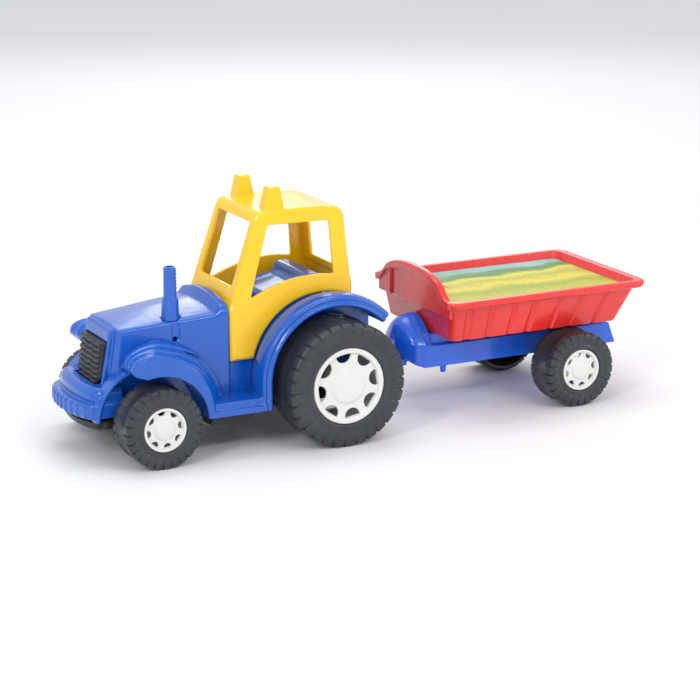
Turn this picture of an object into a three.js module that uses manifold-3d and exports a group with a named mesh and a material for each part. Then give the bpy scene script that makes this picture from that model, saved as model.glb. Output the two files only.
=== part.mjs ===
// A toy farm tractor that pulls a tipping trailer, in millimetres.
// +X is forwards, +Y is the tractor's left and +Z is up. Every length along X is measured from the
// rear axle. The finished group is then moved so that the origin is the middle of the footprint.
import * as THREE from 'three';
import { mergeVertices } from 'three/addons/utils/BufferGeometryUtils.js';
import Module from 'manifold-3d';

const wasm = await Module();
wasm.setup();

// ---- driving dimensions -------------------------------------------------------------------
const GAP = 0.3;
const WALL = 2.8;
const UNDER = 5;
const FRONT_AXLE_X = 142;
const TRAILER_AXLE_X = -211;
const AXLE_RADIUS = 1.6;
const BEARING_RADIUS = 2.1;

const SMALL_WHEEL = {
  radius: 29.9, hubRadius: 16.4, inner: 43, outer: 73,
  segments: 32, slotSize: 2.3, slotCentre: 13.2,
};
const BIG_WHEEL = {
  radius: 47.25, hubRadius: 28.9, inner: 44, outer: 84.6,
  segments: 40, slotSize: 4.6, slotCentre: 23.6,
};
const HUB_SLOTS = 8;
const SLOT_DEPTH = 3;

const HOOD_FRONT_X = 165;
const COWL_REAR_X = 76.3;
const HOOD_REAR_X = 84;
const SKIRT_Z = 31;
const BOARD_Z = 41;
const DECK_Z = 98;
const BODY_REAR_X = -41;
const REAR_BODY_HALF = 36.3;
const FENDER_ROOT_Y = 42.2;
const FENDER_OUT_Y = 66;
const FENDER_CENTRE_Z = 50;
const GUARD_OUT_Y = 65;

const PLATE_BOTTOM_Z = 24;
const PLATE_TOP_Z = 30.7;

const CAB_BASE_Z = 64.8;
const ROOF_Z = 174.5;
const CAB_WALL = 2.8;

const HITCH_X = -52;
const EYE_BOTTOM_Z = 33;
const EYE_TOP_Z = 38;

const TRAILER = { front: -95.3, rear: -272.5, half: 27, spine: 22, bottom: 34.5, railTop: 52, top: 60.3 };
const TRAILER_NOSE = { back: -102.5, edge: -95.3, tip: -80.8, crownZ: 73.5 };
const CARD_Z = 88;
const TIP_AXIS = { x: -258, z: 55.3 };
const TUB = {
  floorZ: 60.7, rimZ: 94, lipHeight: 5.6, wall: 2.2,
  bottom: { front: -105, rear: -256, half: 53, corner: 6 },
  top: { front: -100, rear: -272.5, half: 62, corner: 9 },
  lip: { front: -96.5, rear: -277.5, half: 66, corner: 11 },
  archZ: 112.5,
};

const COLOURS = {
  blue: 0x2458b8, trailerBlue: 0x3364dc, yellow: 0xf7c21c, red: 0xd43a34,
  black: 0x2b2d30, tyre: 0x3f4245, white: 0xe9e9e6, steel: 0xb4b8bc, card: 0xc9cc55,
};

// ---- geometry helpers ---------------------------------------------------------------------
const ALONG_X = (u, v, w) => [w, u, v];
const ALONG_Y = (u, v, w) => [u, w, v];
const ALONG_Z = (u, v, w) => [u, v, w];

function signedVolume(positions, triangles) {
  const [a, b, c] = [new THREE.Vector3(), new THREE.Vector3(), new THREE.Vector3()];
  let sum = 0;
  for (let i = 0; i < triangles.length; i += 3) {
    a.fromArray(positions, triangles[i] * 3);
    b.fromArray(positions, triangles[i + 1] * 3);
    c.fromArray(positions, triangles[i + 2] * 3);
    sum += a.dot(b.cross(c));
  }
  return sum;
}

// Turns a closed three.js geometry into a solid, with its faces pointing outwards.
function solid(geometry) {
  const bare = geometry.clone();
  bare.deleteAttribute('normal');
  bare.deleteAttribute('uv');
  const merged = mergeVertices(bare, 1e-4);
  const triVerts = new Uint32Array(merged.index.array);
  const vertProperties = new Float32Array(merged.attributes.position.array);
  if (signedVolume(vertProperties, triVerts) < 0) {
    triVerts.reverse();
  }
  return new wasm.Manifold(new wasm.Mesh({ numProp: 3, vertProperties, triVerts }));
}

function toGeometry(body) {
  const mesh = body.getMesh();
  const geometry = new THREE.BufferGeometry();
  geometry.setAttribute('position', new THREE.BufferAttribute(mesh.vertProperties, 3));
  geometry.setIndex(new THREE.BufferAttribute(mesh.triVerts, 1));
  geometry.computeVertexNormals();
  return geometry;
}

function join(...bodies) {
  return bodies.reduce((sum, body) => sum.add(body));
}

function cut(body, ...tools) {
  return tools.reduce((left, tool) => left.subtract(tool), body);
}

function box([x0, x1], [y0, y1], [z0, z1]) {
  const geometry = new THREE.BoxGeometry(x1 - x0, y1 - y0, z1 - z0);
  geometry.translate((x0 + x1) / 2, (y0 + y1) / 2, (z0 + z1) / 2);
  return solid(geometry);
}

// A solid between two outlines of the same number of points, standing on two parallel planes.
function loft(place, startOutline, endOutline, start, end) {
  const shape = new THREE.Shape(startOutline.map(([u, v]) => new THREE.Vector2(u, v)));
  const geometry = new THREE.ExtrudeGeometry(shape, { depth: 1, steps: 1, bevelEnabled: false });
  const position = geometry.attributes.position;
  const distance = (i) => ([u, v]) => Math.hypot(u - position.getX(i), v - position.getY(i));
  for (let i = 0; i < position.count; i += 1) {
    const away = startOutline.map(distance(i));
    const index = away.indexOf(Math.min(...away));
    const atEnd = position.getZ(i) > 0.5;
    const [u, v] = atEnd ? endOutline[index] : startOutline[index];
    position.setXYZ(i, ...place(u, v, atEnd ? end : start));
  }
  return solid(geometry);
}

function prism(place, outline, start, end) {
  return loft(place, outline, outline, start, end);
}

function arcPoints(centreU, centreV, radius, fromDeg, toDeg, count) {
  return Array.from({ length: count }, (_, i) => {
    const angle = THREE.MathUtils.degToRad(fromDeg + ((toDeg - fromDeg) * i) / (count - 1));
    return [centreU + radius * Math.cos(angle), centreV + radius * Math.sin(angle)];
  });
}

// A rectangle with rounded corners in plan, given by its front, rear, half width and corner radius.
function roundedPlan({ front, rear, half, corner }, perCorner = 4) {
  return [
    ...arcPoints(front - corner, half - corner, corner, 0, 90, perCorner),
    ...arcPoints(rear + corner, half - corner, corner, 90, 180, perCorner),
    ...arcPoints(rear + corner, corner - half, corner, 180, 270, perCorner),
    ...arcPoints(front - corner, corner - half, corner, 270, 360, perCorner),
  ];
}

function rodAcross(radius, y0, y1, x, z, segments = 14) {
  const geometry = new THREE.CylinderGeometry(radius, radius, y1 - y0, segments);
  geometry.translate(x, (y0 + y1) / 2, z);
  return solid(geometry);
}

function post(bottomRadius, topRadius, z0, z1, x, y, segments = 12) {
  const geometry = new THREE.CylinderGeometry(topRadius, bottomRadius, z1 - z0, segments);
  geometry.rotateX(Math.PI / 2);
  geometry.translate(x, y, (z0 + z1) / 2);
  return solid(geometry);
}

// A turned solid about a line along Y; the profile is a list of [radius, y].
function turned(profile, segments, x, z) {
  const points = profile.map(([radius, y]) => new THREE.Vector2(radius, y));
  const geometry = new THREE.LatheGeometry(points, segments);
  geometry.translate(x, 0, z);
  return solid(geometry);
}

function mirrored(body) {
  return body.mirror([0, 1, 0]);
}

function bothSides(body) {
  return body.add(mirrored(body));
}

// ---- tractor body -------------------------------------------------------------------------
// One cross-section of the hood: a flat side, a bevel and a crowned top, in Y and Z.
function hoodSection({ half, bevel, edgeZ, crownZ }, bottomZ, inset = 0) {
  const side = half - inset;
  const edge = half - bevel - inset * 0.6;
  const top = edgeZ - inset;
  const shoulder = [edge * 0.5, (top + crownZ - inset) / 2 + 1];
  const right = [[side, bottomZ], [side, top - 4], [edge, top], shoulder];
  const left = right.map(([y, z]) => [-y, z]).reverse();
  return [...right, [0, crownZ - inset], ...left];
}

const NOSE_SECTION = { half: 29, bevel: 5, edgeZ: 95, crownZ: 96.5 };
const HOOD_REAR_SECTION = { half: 38, bevel: 5, edgeZ: 101, crownZ: 105 };
const COWL_SECTION = { half: 39.6, bevel: 6.5, edgeZ: 107.5, crownZ: 113 };

function hood(inset, bottomZ, frontX, rearX) {
  const nose = hoodSection(NOSE_SECTION, bottomZ, inset);
  const rear = hoodSection(HOOD_REAR_SECTION, bottomZ, inset);
  const cowl = hoodSection(COWL_SECTION, bottomZ, inset);
  return join(
    loft(ALONG_X, rear, nose, HOOD_REAR_X, frontX),
    loft(ALONG_X, cowl, rear, rearX, HOOD_REAR_X),
  );
}

// The nose's face leans back towards its top and stands proud of the hood, between its side borders.
function noseBlock() {
  const outline = [[156, 55], [156, 95.5], [162.8, 95.5], [164.2, 94.4], [171.8, 56]];
  return join(
    prism(ALONG_Y, outline, -23.5, 23.5),
    prism(ALONG_Y, [[158, SKIRT_Z], [158, 58], [172, 54], [172, SKIRT_Z]], -30, 30),
  );
}

function hoodFrontCut() {
  return prism(ALONG_Y, [[160.4, 100], [160.4, 94], [166, 58], [170, 58], [170, 100]], -45, 45);
}

function bowedPlan(centreX, endX, half, backX) {
  const bow = [-1, -0.82, -0.45, 0, 0.45, 0.82, 1].map((side) => {
    const reach = Math.sqrt(Math.max(0, 1 - (side * 0.93) ** 2));
    return [endX + (centreX - endX) * reach, side * half];
  });
  return [...bow, [backX, half], [backX, -half]];
}

function bumper() {
  const lipBottom = bowedPlan(194.5, 180, 38, 160);
  const lipTop = bowedPlan(196, 180, 38.8, 160);
  const apronBottom = bowedPlan(188, 178, 37.5, 160);
  const apronTop = bowedPlan(184, 176, 33, 160);
  return join(loft(ALONG_Z, lipBottom, lipTop, 33.6, 45), loft(ALONG_Z, apronBottom, apronTop, 44.9, 56));
}

const GUARD_CREST = [
  [164, 74], [162.5, 79.5], [156, 83], [146, 83.5], [133, 79.5],
  [119, 74], [109, 66], [101.5, 51], [99, 41],
];
const GUARD_ROOT = [
  [158, 72], [155, 78], [149, 82], [140, 86], [131, 88],
  [113, 83], [98, 74], [84, 58], [78, 41],
];
const GUARD_OPENING = 37.5;
const ARCH_RIM = 41;
const ARCH_RIM_OUT_Y = 41;

function frontGuardHollow() {
  const draw = ([x, z]) => [120 + (x - 120) * 0.92, 36 + (z - 36) * 0.93];
  const opening = arcPoints(FRONT_AXLE_X, SMALL_WHEEL.radius, GUARD_OPENING + 2.6, 178, 84, 7);
  const underside = [[99, SKIRT_Z - UNDER], [FRONT_AXLE_X - 40, SKIRT_Z - UNDER], ...opening];
  const root = [...GUARD_ROOT.map(draw), ...underside];
  const crest = [...GUARD_CREST.map(draw), ...underside];
  return loft(ALONG_Y, root, crest, 41.5, GUARD_OUT_Y - WALL);
}

function frontGuard() {
  const opening = arcPoints(FRONT_AXLE_X, SMALL_WHEEL.radius, GUARD_OPENING, 178, 76, 9);
  const underside = [[100.5, SKIRT_Z], ...opening, [160, 69.3]];
  const root = [...GUARD_ROOT, ...underside];
  const crest = [...GUARD_CREST, ...underside];
  return cut(loft(ALONG_Y, root, crest, 30, GUARD_OUT_Y), frontGuardHollow());
}

// The rounded rim of the front wheel arch stands out from the side of the hood.
function archRim(grow) {
  const endDeg = 120 + grow * 2;
  const outer = arcPoints(FRONT_AXLE_X, SMALL_WHEEL.radius, ARCH_RIM + grow, 2, endDeg, 8);
  const inner = arcPoints(FRONT_AXLE_X, SMALL_WHEEL.radius, GUARD_OPENING - grow, endDeg, 2, 8);
  return prism(ALONG_Y, [...outer, ...inner], 28, ARCH_RIM_OUT_Y + grow);
}

// The rear fender is a band round the wheel that swells outwards to a rounded ridge.
function rearFenderBand(rootRadius, ridgeRadius, lipRadius, innerRadius) {
  const outline = (radius) => [
    ...arcPoints(0, FENDER_CENTRE_Z, radius, -18, 136, 18),
    ...arcPoints(0, FENDER_CENTRE_Z, innerRadius, 136, -18, 18),
  ];
  return join(
    prism(ALONG_Y, outline(rootRadius), REAR_BODY_HALF + GAP, FENDER_ROOT_Y),
    loft(ALONG_Y, outline(rootRadius), outline(ridgeRadius), FENDER_ROOT_Y, 50),
    loft(ALONG_Y, outline(ridgeRadius), outline(ridgeRadius + 0.5), 50, 58),
    loft(ALONG_Y, outline(ridgeRadius + 0.5), outline(lipRadius), 58, FENDER_OUT_Y),
  );
}

function rearFenderGroove() {
  const sector = [
    ...arcPoints(0, FENDER_CENTRE_Z, 59.4, 8, 133, 14),
    ...arcPoints(0, FENDER_CENTRE_Z, 50, 133, 8, 14),
  ];
  return prism(ALONG_Y, sector, 45, FENDER_OUT_Y - WALL);
}

function rearFender() {
  const footOutline = [[52, SKIRT_Z], [52, 50], [62, 50], [63, SKIRT_Z]];
  const foot = prism(ALONG_Y, footOutline, REAR_BODY_HALF + GAP, FENDER_OUT_Y);
  const band = rearFenderBand(58, 62.2, 60.8, 53);
  return join(cut(band, rearFenderGroove(), box([0, 70], [30, 70], [20, SKIRT_Z])), foot);
}

function runningBoard() {
  const outer = box([58, 103], [REAR_BODY_HALF, FENDER_OUT_Y - 0.5], [SKIRT_Z, BOARD_Z]);
  const hollow = box([64, 97], [REAR_BODY_HALF + 2, FENDER_OUT_Y - 3], [SKIRT_Z - 3, BOARD_Z - WALL]);
  return cut(outer, hollow);
}

function rearBody() {
  const outline = [
    [BODY_REAR_X, SKIRT_Z], [BODY_REAR_X, 92], [-36, DECK_Z], [60, DECK_Z],
    [66, 88], [80, 88], [80, SKIRT_Z],
  ];
  return prism(ALONG_Y, outline, -REAR_BODY_HALF, REAR_BODY_HALF);
}

function bodyHollow() {
  const inner = REAR_BODY_HALF - WALL;
  const outline = [
    [BODY_REAR_X + WALL, SKIRT_Z - UNDER], [BODY_REAR_X + WALL, 90], [-34, DECK_Z - WALL],
    [58, DECK_Z - WALL], [63.5, 85], [82, 85], [82, SKIRT_Z - UNDER],
  ];
  return join(
    prism(ALONG_Y, outline, -inner, inner),
    hood(WALL, SKIRT_Z - UNDER, HOOD_FRONT_X - 8, COWL_REAR_X + WALL),
    prism(ALONG_Z, bowedPlan(191, 176, 33, 150), SKIRT_Z - UNDER, 42),
    box([150, 169], [-27, 27], [SKIRT_Z - UNDER, 49.5]),
  );
}

const SCREW_PLACES = [[100, 16], [100, -16], [24, 22], [24, -22]];

function screwBosses() {
  const topUnder = (x) => (x > HOOD_REAR_X ? DECK_Z + 1.4 : DECK_Z - 1);
  const boss = ([x, y]) => post(3.6, 3.6, SKIRT_Z + 4, topUnder(x), x, y, 8);
  return join(...SCREW_PLACES.map(boss));
}

function screwHoles() {
  const hole = ([x, y]) => post(1.6, 1.6, SKIRT_Z, SKIRT_Z + 22, x, y, 8);
  return join(...SCREW_PLACES.map(hole));
}

const STACK = { x: 117.5, y: 26, seatZ: 98.6 };

function axleSlots() {
  const span = (x) => [x - BEARING_RADIUS, x + BEARING_RADIUS];
  const slot = (x, z) => box(span(x), [-80, 80], [SKIRT_Z - 8, z + BEARING_RADIUS]);
  return join(slot(0, BIG_WHEEL.radius), slot(FRONT_AXLE_X, SMALL_WHEEL.radius));
}

function bodyShell() {
  const outside = join(
    cut(hood(0, SKIRT_Z, HOOD_FRONT_X, COWL_REAR_X), hoodFrontCut()), noseBlock(), bumper(), rearBody(),
    bothSides(archRim(0)),
  );
  const stackSocket = join(
    post(4.1, 4.1, STACK.seatZ - 22, STACK.seatZ + 4, STACK.x, STACK.y, 12),
    post(7.2, 7.2, STACK.seatZ, STACK.seatZ + 12, STACK.x, STACK.y, 16),
  );
  const shell = cut(outside, bodyHollow());
  return cut(shell.add(screwBosses()), screwHoles(), stackSocket, axleSlots(), grilleSocket());
}

// The left front guard, running board and rear fender are one moulding, which snaps on the shell.
function sideFenders() {
  const shellRoom = join(
    hood(-GAP, SKIRT_Z - UNDER, HOOD_FRONT_X, COWL_REAR_X - GAP),
    box([BODY_REAR_X - UNDER, 80 + GAP], [0, REAR_BODY_HALF + GAP], [SKIRT_Z - UNDER, DECK_Z]),
    archRim(GAP),
  );
  return cut(join(frontGuard(), runningBoard(), rearFender()), shellRoom, axleSlots());
}

function grilleSocket() {
  return box([161, 176], [-21.6, 21.6], [52.6, 86]);
}

// ---- tractor fittings ---------------------------------------------------------------------
function grille() {
  const topZ = 85.6;
  const bottomZ = 53;
  const front = [[21.2, 60], [21.2, topZ], [-21.2, topZ], [-21.2, 60], [-15, bottomZ], [15, bottomZ]];
  const faceX = (z) => 168.4 + (topZ - z) * 0.13;
  const lean = [[faceX(topZ + 1), topZ + 1], [faceX(50), 50], [180, 50], [180, topZ + 1]];
  const block = cut(prism(ALONG_X, front, 161.4, 174), prism(ALONG_Y, lean, -30, 30));
  const slats = 7;
  const pitch = 30 / slats;
  const ribs = Array.from({ length: slats }, (_, i) => {
    const z = 56.5 + pitch * i;
    const half = i === 0 ? 17 : 20.2;
    const x = faceX(z);
    const outline = [[x - 1, z - 1.1], [x + 1.8, z - 0.3], [x + 1.7, z + 0.9], [x - 1, z + 1.7]];
    return prism(ALONG_Y, outline, -half, half);
  });
  return join(block, ...ribs);
}

function exhaustStack() {
  const peg = post(3.8, 3.8, STACK.seatZ - 18, STACK.seatZ + 1, STACK.x, STACK.y, 12);
  const lower = post(6.7, 6.0, STACK.seatZ + GAP, 115.5, STACK.x, STACK.y, 16);
  const upper = post(5.1, 4.5, 115.4, 138.5, STACK.x, STACK.y, 16);
  return cut(join(peg, lower, upper), post(3, 3, 132, 140, STACK.x, STACK.y, 10));
}

// The cab narrows towards the roof, so the outline's sides are moved in by height.
function cabHalfWidth(z) {
  return 39.6 + (107.2 - z) * 0.0515;
}

function cabPrism(outline, inset) {
  const body = prism(ALONG_Y, outline, -1, 1);
  return body.warp((vertex) => {
    vertex[1] *= cabHalfWidth(vertex[2]) - inset;
  });
}

const CAB_ARCH_RADIUS = 58.7;

function cabShell() {
  const arch = arcPoints(0, FENDER_CENTRE_Z, CAB_ARCH_RADIUS, 14.6, 112, 12);
  const outer = [
    [76, CAB_BASE_Z], [76, 103.5], [73.6, 108], [53, 170.5], [49, 174], [16, ROOF_Z],
    [-13, 173], [-18, 171], [-20.5, 166], [-24.4, 119], [-25.4, 117], [-25.4, 104.5], ...arch.reverse(),
  ];
  const inner = [
    [73.2, CAB_BASE_Z - 2], [73.2, 103.5], [70.6, 107.5], [50.4, 168.2], [47.5, 171.2],
    [16, 171.7], [-12, 170.2], [-16.5, 167.5], [-17.8, 165], [-21.6, 119], [-22.6, 117],
    [-22.6, CAB_BASE_Z - 2],
  ];
  return cut(cabPrism(outer, 0), cabPrism(inner, CAB_WALL));
}

function cabWindows() {
  const side = [
    [43.2, 163.8], [-7.2, 163], [-10, 122], [10, 123.4], [26, 121.6], [43, 116.8], [58.8, 110.2],
  ];
  const screenHalf = 29;
  const screen = [[90, 118.5], [60, 118.5], [42, 166], [90, 166]];
  const rear = [[-12, 124], [-12, 163], [-40, 163], [-40, 124]];
  return join(
    prism(ALONG_Y, side, -60, 60),
    prism(ALONG_Y, screen, -screenHalf, screenHalf),
    prism(ALONG_Y, rear, -25, 25),
    box([50, 80], [-REAR_BODY_HALF - 0.5, REAR_BODY_HALF + 0.5], [60, DECK_Z + 2]),
  );
}

function roofLamp() {
  const base = [[44.5, 19.5], [44.5, 33.5], [25, 33.5], [25, 19.5]];
  const top = [[39.8, 21.5], [39.8, 31.5], [30, 31.5], [30, 21.5]];
  return loft(ALONG_Z, base, top, 173, 190.8);
}

function cab() {
  return join(cut(cabShell(), cabWindows()), bothSides(roofLamp()));
}

function seat() {
  const outline = [
    [-7, DECK_Z + GAP], [39, DECK_Z + GAP], [40, 105], [35, 109.5], [13, 113.5], [10, 115],
    [8.5, 120.3], [6, 121.5], [-3, 121], [-7, 118],
  ];
  return prism(ALONG_Y, outline, -27.5, 27.5);
}

// The tongue behind the plate carries the hitch pin.
function hitchTongue() {
  const root = BODY_REAR_X + 2;
  const tip = HITCH_X - 8;
  const plan = [[root, 9], [HITCH_X, 8], [tip, 4], [tip, -4], [HITCH_X, -8], [root, -9]];
  return cut(prism(ALONG_Z, plan, 26.5, PLATE_TOP_Z), post(2.6, 2.6, 20, 40, HITCH_X, 0, 12));
}

function chassisPlate() {
  const half = [[174, 34], [104, 34], [101, 60], [66, 60], [60, 34], [BODY_REAR_X + 0.5, 34]];
  const plan = [...half, ...half.map(([x, y]) => [x, -y]).reverse()];
  const nose = [bowedPlan(186, 172, 31, 150), bowedPlan(190, 175, 34, 150)];
  const plate = join(
    prism(ALONG_Z, plan, PLATE_BOTTOM_Z, PLATE_TOP_Z),
    loft(ALONG_Z, nose[0], nose[1], PLATE_BOTTOM_Z, PLATE_TOP_Z),
  );
  const frontBearings = box([136, 148], [-22, 22], [PLATE_TOP_Z - 1, 37]);
  const rearBearings = bothSides(box([-7, 7], [20, 30], [PLATE_BOTTOM_Z + 2, 54]));
  const screwWays = SCREW_PLACES.flatMap(([x, y]) => [
    post(3.9, 3.9, PLATE_BOTTOM_Z - 1, PLATE_BOTTOM_Z + 2.9, x, y, 10),
    post(1.7, 1.7, PLATE_BOTTOM_Z, PLATE_TOP_Z + 1, x, y, 8),
  ]);
  return cut(
    join(plate, frontBearings, rearBearings, hitchTongue()),
    ...screwWays,
    rodAcross(BEARING_RADIUS, -70, 70, 0, BIG_WHEEL.radius, 16),
    rodAcross(BEARING_RADIUS, -70, 70, FRONT_AXLE_X, SMALL_WHEEL.radius, 16),
  );
}

function screw(x, y) {
  const headZ = PLATE_BOTTOM_Z + GAP;
  const head = post(3.5, 3.5, headZ, headZ + 2.2, x, y, 10);
  return join(head, post(1.3, 1.2, headZ + 2, headZ + 18, x, y, 8));
}

// ---- wheels -------------------------------------------------------------------------------
// A tyre's section, from the bead on its outboard side round to the inboard one.
function tyre({ radius, hubRadius, inner, outer, segments }, x) {
  const bore = hubRadius + GAP;
  const shoulder = (radius - hubRadius) * 0.16;
  const profile = [
    [bore, outer - 1.6], [bore + shoulder * 2, outer], [radius - shoulder, outer - 0.7],
    [radius, outer - shoulder - 1], [radius, inner + shoulder + 1], [radius - shoulder, inner],
    [bore + shoulder, inner], [bore, inner + 3], [bore, outer - 1.6],
  ];
  return turned(profile, segments, x, radius);
}

// A hub has a proud rim and centre cap, with half-moon pockets between them.
function hub({ radius, hubRadius, inner, outer, segments, slotSize, slotCentre }, x) {
  const face = outer - 2.2;
  const boss = hubRadius * 0.3;
  const cap = hubRadius * 0.46;
  const bore = AXLE_RADIUS + 0.1;
  const profile = [
    [0, outer - 0.3], [cap * 0.8, outer - 0.8], [cap, face], [hubRadius * 0.9, face],
    [hubRadius * 0.92, outer - 0.4], [hubRadius, outer - 0.6], [hubRadius, inner + 4],
    [boss, inner + 4], [boss, inner + 1], [bore, inner + 1], [bore, face - 3], [0, face - 3],
  ];
  const disc = turned(profile, segments, 0, 0);
  const outline = arcPoints(slotCentre + slotSize * 0.35, 0, slotSize, 90, 270, 5);
  const pocket = prism(ALONG_Y, outline, face - SLOT_DEPTH, outer);
  const turn = (i) => [0, (360 * (i + 0.5)) / HUB_SLOTS, 0];
  const ring = Array.from({ length: HUB_SLOTS }, (_, i) => pocket.rotate(turn(i)));
  return cut(disc, ...ring).translate([x, 0, radius]);
}

function axle({ radius, outer }, x) {
  const end = outer - 2.2 - 3 - GAP;
  return rodAcross(AXLE_RADIUS, -end, end, x, radius, 12);
}

// ---- trailer ------------------------------------------------------------------------------
// Two low side rails with a narrower spine between them, which carries the tub.
function railSection(inset) {
  const { half, spine, bottom, railTop, top } = TRAILER;
  const right = [
    [half - inset, bottom - (inset ? UNDER : 0)], [half - inset, railTop - inset],
    [spine - inset, railTop - inset], [spine - inset, top - inset],
  ];
  return [...right, ...right.map(([y, z]) => [-y, z]).reverse()];
}

function trailerRails() {
  const { front, rear, half, bottom, spine, top } = TRAILER;
  const slant = (shift) => {
    const foot = rear + shift;
    const outline = [[rear - 9, 20], [foot, 20], [foot, bottom], [foot + 10, top], [rear - 9, top + 9]];
    return prism(ALONG_Y, outline, -40, 40);
  };
  const hollow = cut(prism(ALONG_X, railSection(WALL), rear, front - WALL), slant(WALL));
  const spineFront = box([TRAILER_NOSE.back, front + 1], [-half - 1, half + 1], [TRAILER.railTop, top + 1]);
  const well = box([rear - 1, TIP_AXIS.x + 12], [WALL - spine, spine - WALL], [48.5, top + 1]);
  const shell = cut(prism(ALONG_X, railSection(0), rear, front), slant(0), hollow, spineFront, well);
  const earOutline = [[-203, bottom + 3], [-206, 24.5], [-216, 24.5], [-219, bottom + 3]];
  const ear = prism(ALONG_Y, earOutline, half - WALL, half);
  const standX = front - 18.5;
  const stand = post(2.2, 2.6, 28.5, bottom + 2, standX, half - 4, 8);
  const bracket = box([standX - 2, standX + 2], [half - 5, half - 1], [bottom, bottom + 6]);
  return cut(
    join(shell, bothSides(ear), bothSides(stand), bothSides(bracket)),
    rodAcross(BEARING_RADIUS, -40, 40, TRAILER_AXLE_X, SMALL_WHEEL.radius, 16),
    rodAcross(BEARING_RADIUS, -40, 40, TIP_AXIS.x, TIP_AXIS.z, 16),
  );
}

// The arch that closes the trailer's front, as seen from the tractor, drawn at a share of its size.
function noseArch(share, inset = 0) {
  const { half, bottom, railTop } = TRAILER;
  const reach = half - inset;
  const rise = TRAILER_NOSE.crownZ - inset - railTop;
  const left = [[reach, inset ? bottom - UNDER : bottom], [reach, railTop]];
  for (const part of [0.93, 0.82, 0.66, 0.46, 0.23]) {
    left.push([reach * part, railTop + rise * (1 - part ** 1.7) ** 0.85]);
  }
  const outline = [...left, [0, railTop + rise], ...left.map(([y, z]) => [-y, z]).reverse()];
  return outline.map(([y, z]) => [y * share, 57 + (z - 57) * share]);
}

// The domed housing in front of the tub, open below.
function trailerNose() {
  const { back, edge, tip } = TRAILER_NOSE;
  const domed = [[edge, 1], [-92, 0.955], [-88, 0.87], [-84.5, 0.72], [-82, 0.5], [tip, 0.25]];
  const parts = [prism(ALONG_X, noseArch(1), back, edge)];
  for (let i = 0; i + 1 < domed.length; i++) {
    const [[x0, share0], [x1, share1]] = [domed[i], domed[i + 1]];
    parts.push(loft(ALONG_X, noseArch(share0), noseArch(share1), x0, x1));
  }
  const hollow = loft(ALONG_X, noseArch(1, WALL), noseArch(0.88, WALL), back + WALL, -91);
  return cut(join(...parts), hollow);
}

function drawbar() {
  const front = -83;
  const eye = arcPoints(HITCH_X, 0, 6.6, 75, -75, 7);
  const plan = [[front - 8, 7.5], [-60, 6.5], ...eye, [-60, -6.5], [front - 8, -7.5]];
  const webOutline = [
    [front - 8, EYE_BOTTOM_Z], [-60, EYE_BOTTOM_Z], [-60, EYE_TOP_Z], [-66, 48], [front, 54], [front - 8, 54],
  ];
  const bar = join(prism(ALONG_Z, plan, EYE_BOTTOM_Z, EYE_TOP_Z), prism(ALONG_Y, webOutline, -5, 5));
  return cut(bar, post(3, 3, 30, 45, HITCH_X, 0, 14));
}

function trailerChassis() {
  return join(trailerRails(), trailerNose(), drawbar());
}

function hitchPin() {
  const headZ = EYE_TOP_Z + 2 * GAP;
  const shank = post(2.2, 2.2, PLATE_TOP_Z - 4, headZ + 1, HITCH_X, 0, 12);
  return join(shank, post(4.6, 3.4, headZ, headZ + 3.4, HITCH_X, 0, 14));
}

function insetPlan({ front, rear, half, corner }, by) {
  return { front: front - by, rear: rear + by, half: half - by, corner: Math.max(corner - by, 1) };
}

// The headboard's outline across the tub, from its half width and the height of its crown.
function archOutline(half, crown) {
  const { rimZ } = TUB;
  const left = [
    [half, 80], [half, rimZ], [half * 0.86, rimZ + 2], [half * 0.6, crown - 6], [half * 0.3, crown - 1],
  ];
  return [...left, [0, crown], ...left.map(([y, z]) => [-y, z]).reverse()];
}

function headboard() {
  const { top, lip, archZ } = TUB;
  const half = top.half - 3.5;
  const board = prism(ALONG_X, archOutline(half, archZ), top.front - 1.8, top.front + 0.9);
  const roll = cut(
    prism(ALONG_X, archOutline(half + 2, archZ), top.front + 0.7, lip.front),
    prism(ALONG_X, archOutline(half - 4, archZ - 5), top.front - 10, lip.front + 4),
  );
  return join(board, roll);
}

function tub() {
  const { floorZ, rimZ, lipHeight, wall, bottom, top, lip, archZ } = TUB;
  const mouth = roundedPlan(insetPlan(top, wall));
  const body = loft(ALONG_Z, roundedPlan(bottom), roundedPlan(top), floorZ, rimZ);
  const basin = loft(ALONG_Z, roundedPlan(insetPlan(bottom, wall)), mouth, floorZ + wall, rimZ + 0.1);
  const band = prism(ALONG_Z, roundedPlan(lip), rimZ - lipHeight, rimZ);
  const open = cut(join(body, band, headboard()), basin, prism(ALONG_Z, mouth, rimZ, archZ + 5));
  const { x, z } = TIP_AXIS;
  const lugs = bothSides(box([x - 4, x + 5], [10, 18], [z - 4.5, floorZ + 1]));
  return cut(join(open, lugs), rodAcross(BEARING_RADIUS, -30, 30, x, z, 16));
}

function tipPin() {
  const end = TRAILER.spine - 0.5;
  return rodAcross(AXLE_RADIUS, -end, end, TIP_AXIS.x, TIP_AXIS.z, 12);
}

// The printed card is a deck just under the tub's rim, folded down to the floor along both sides.
function sceneCard() {
  const foot = { half: 50.3, z: TUB.floorZ + TUB.wall + GAP };
  const thick = 0.8;
  const half = 57.4;
  const deck = prism(
    ALONG_Z,
    roundedPlan({ front: -104.2, rear: -266.2, half, corner: 6.5 }),
    CARD_Z - thick, CARD_Z,
  );
  const fold = (inset, low) => [
    [foot.half - inset, low], [half - inset, CARD_Z - inset],
    [inset - half, CARD_Z - inset], [inset - foot.half, low],
  ];
  const flaps = cut(
    prism(ALONG_X, fold(0, foot.z), -250, -111),
    prism(ALONG_X, fold(thick, foot.z - 2), -260, -100),
  );
  return join(deck, flaps);
}

// ---- assembly -----------------------------------------------------------------------------
const group = new THREE.Group();

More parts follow.
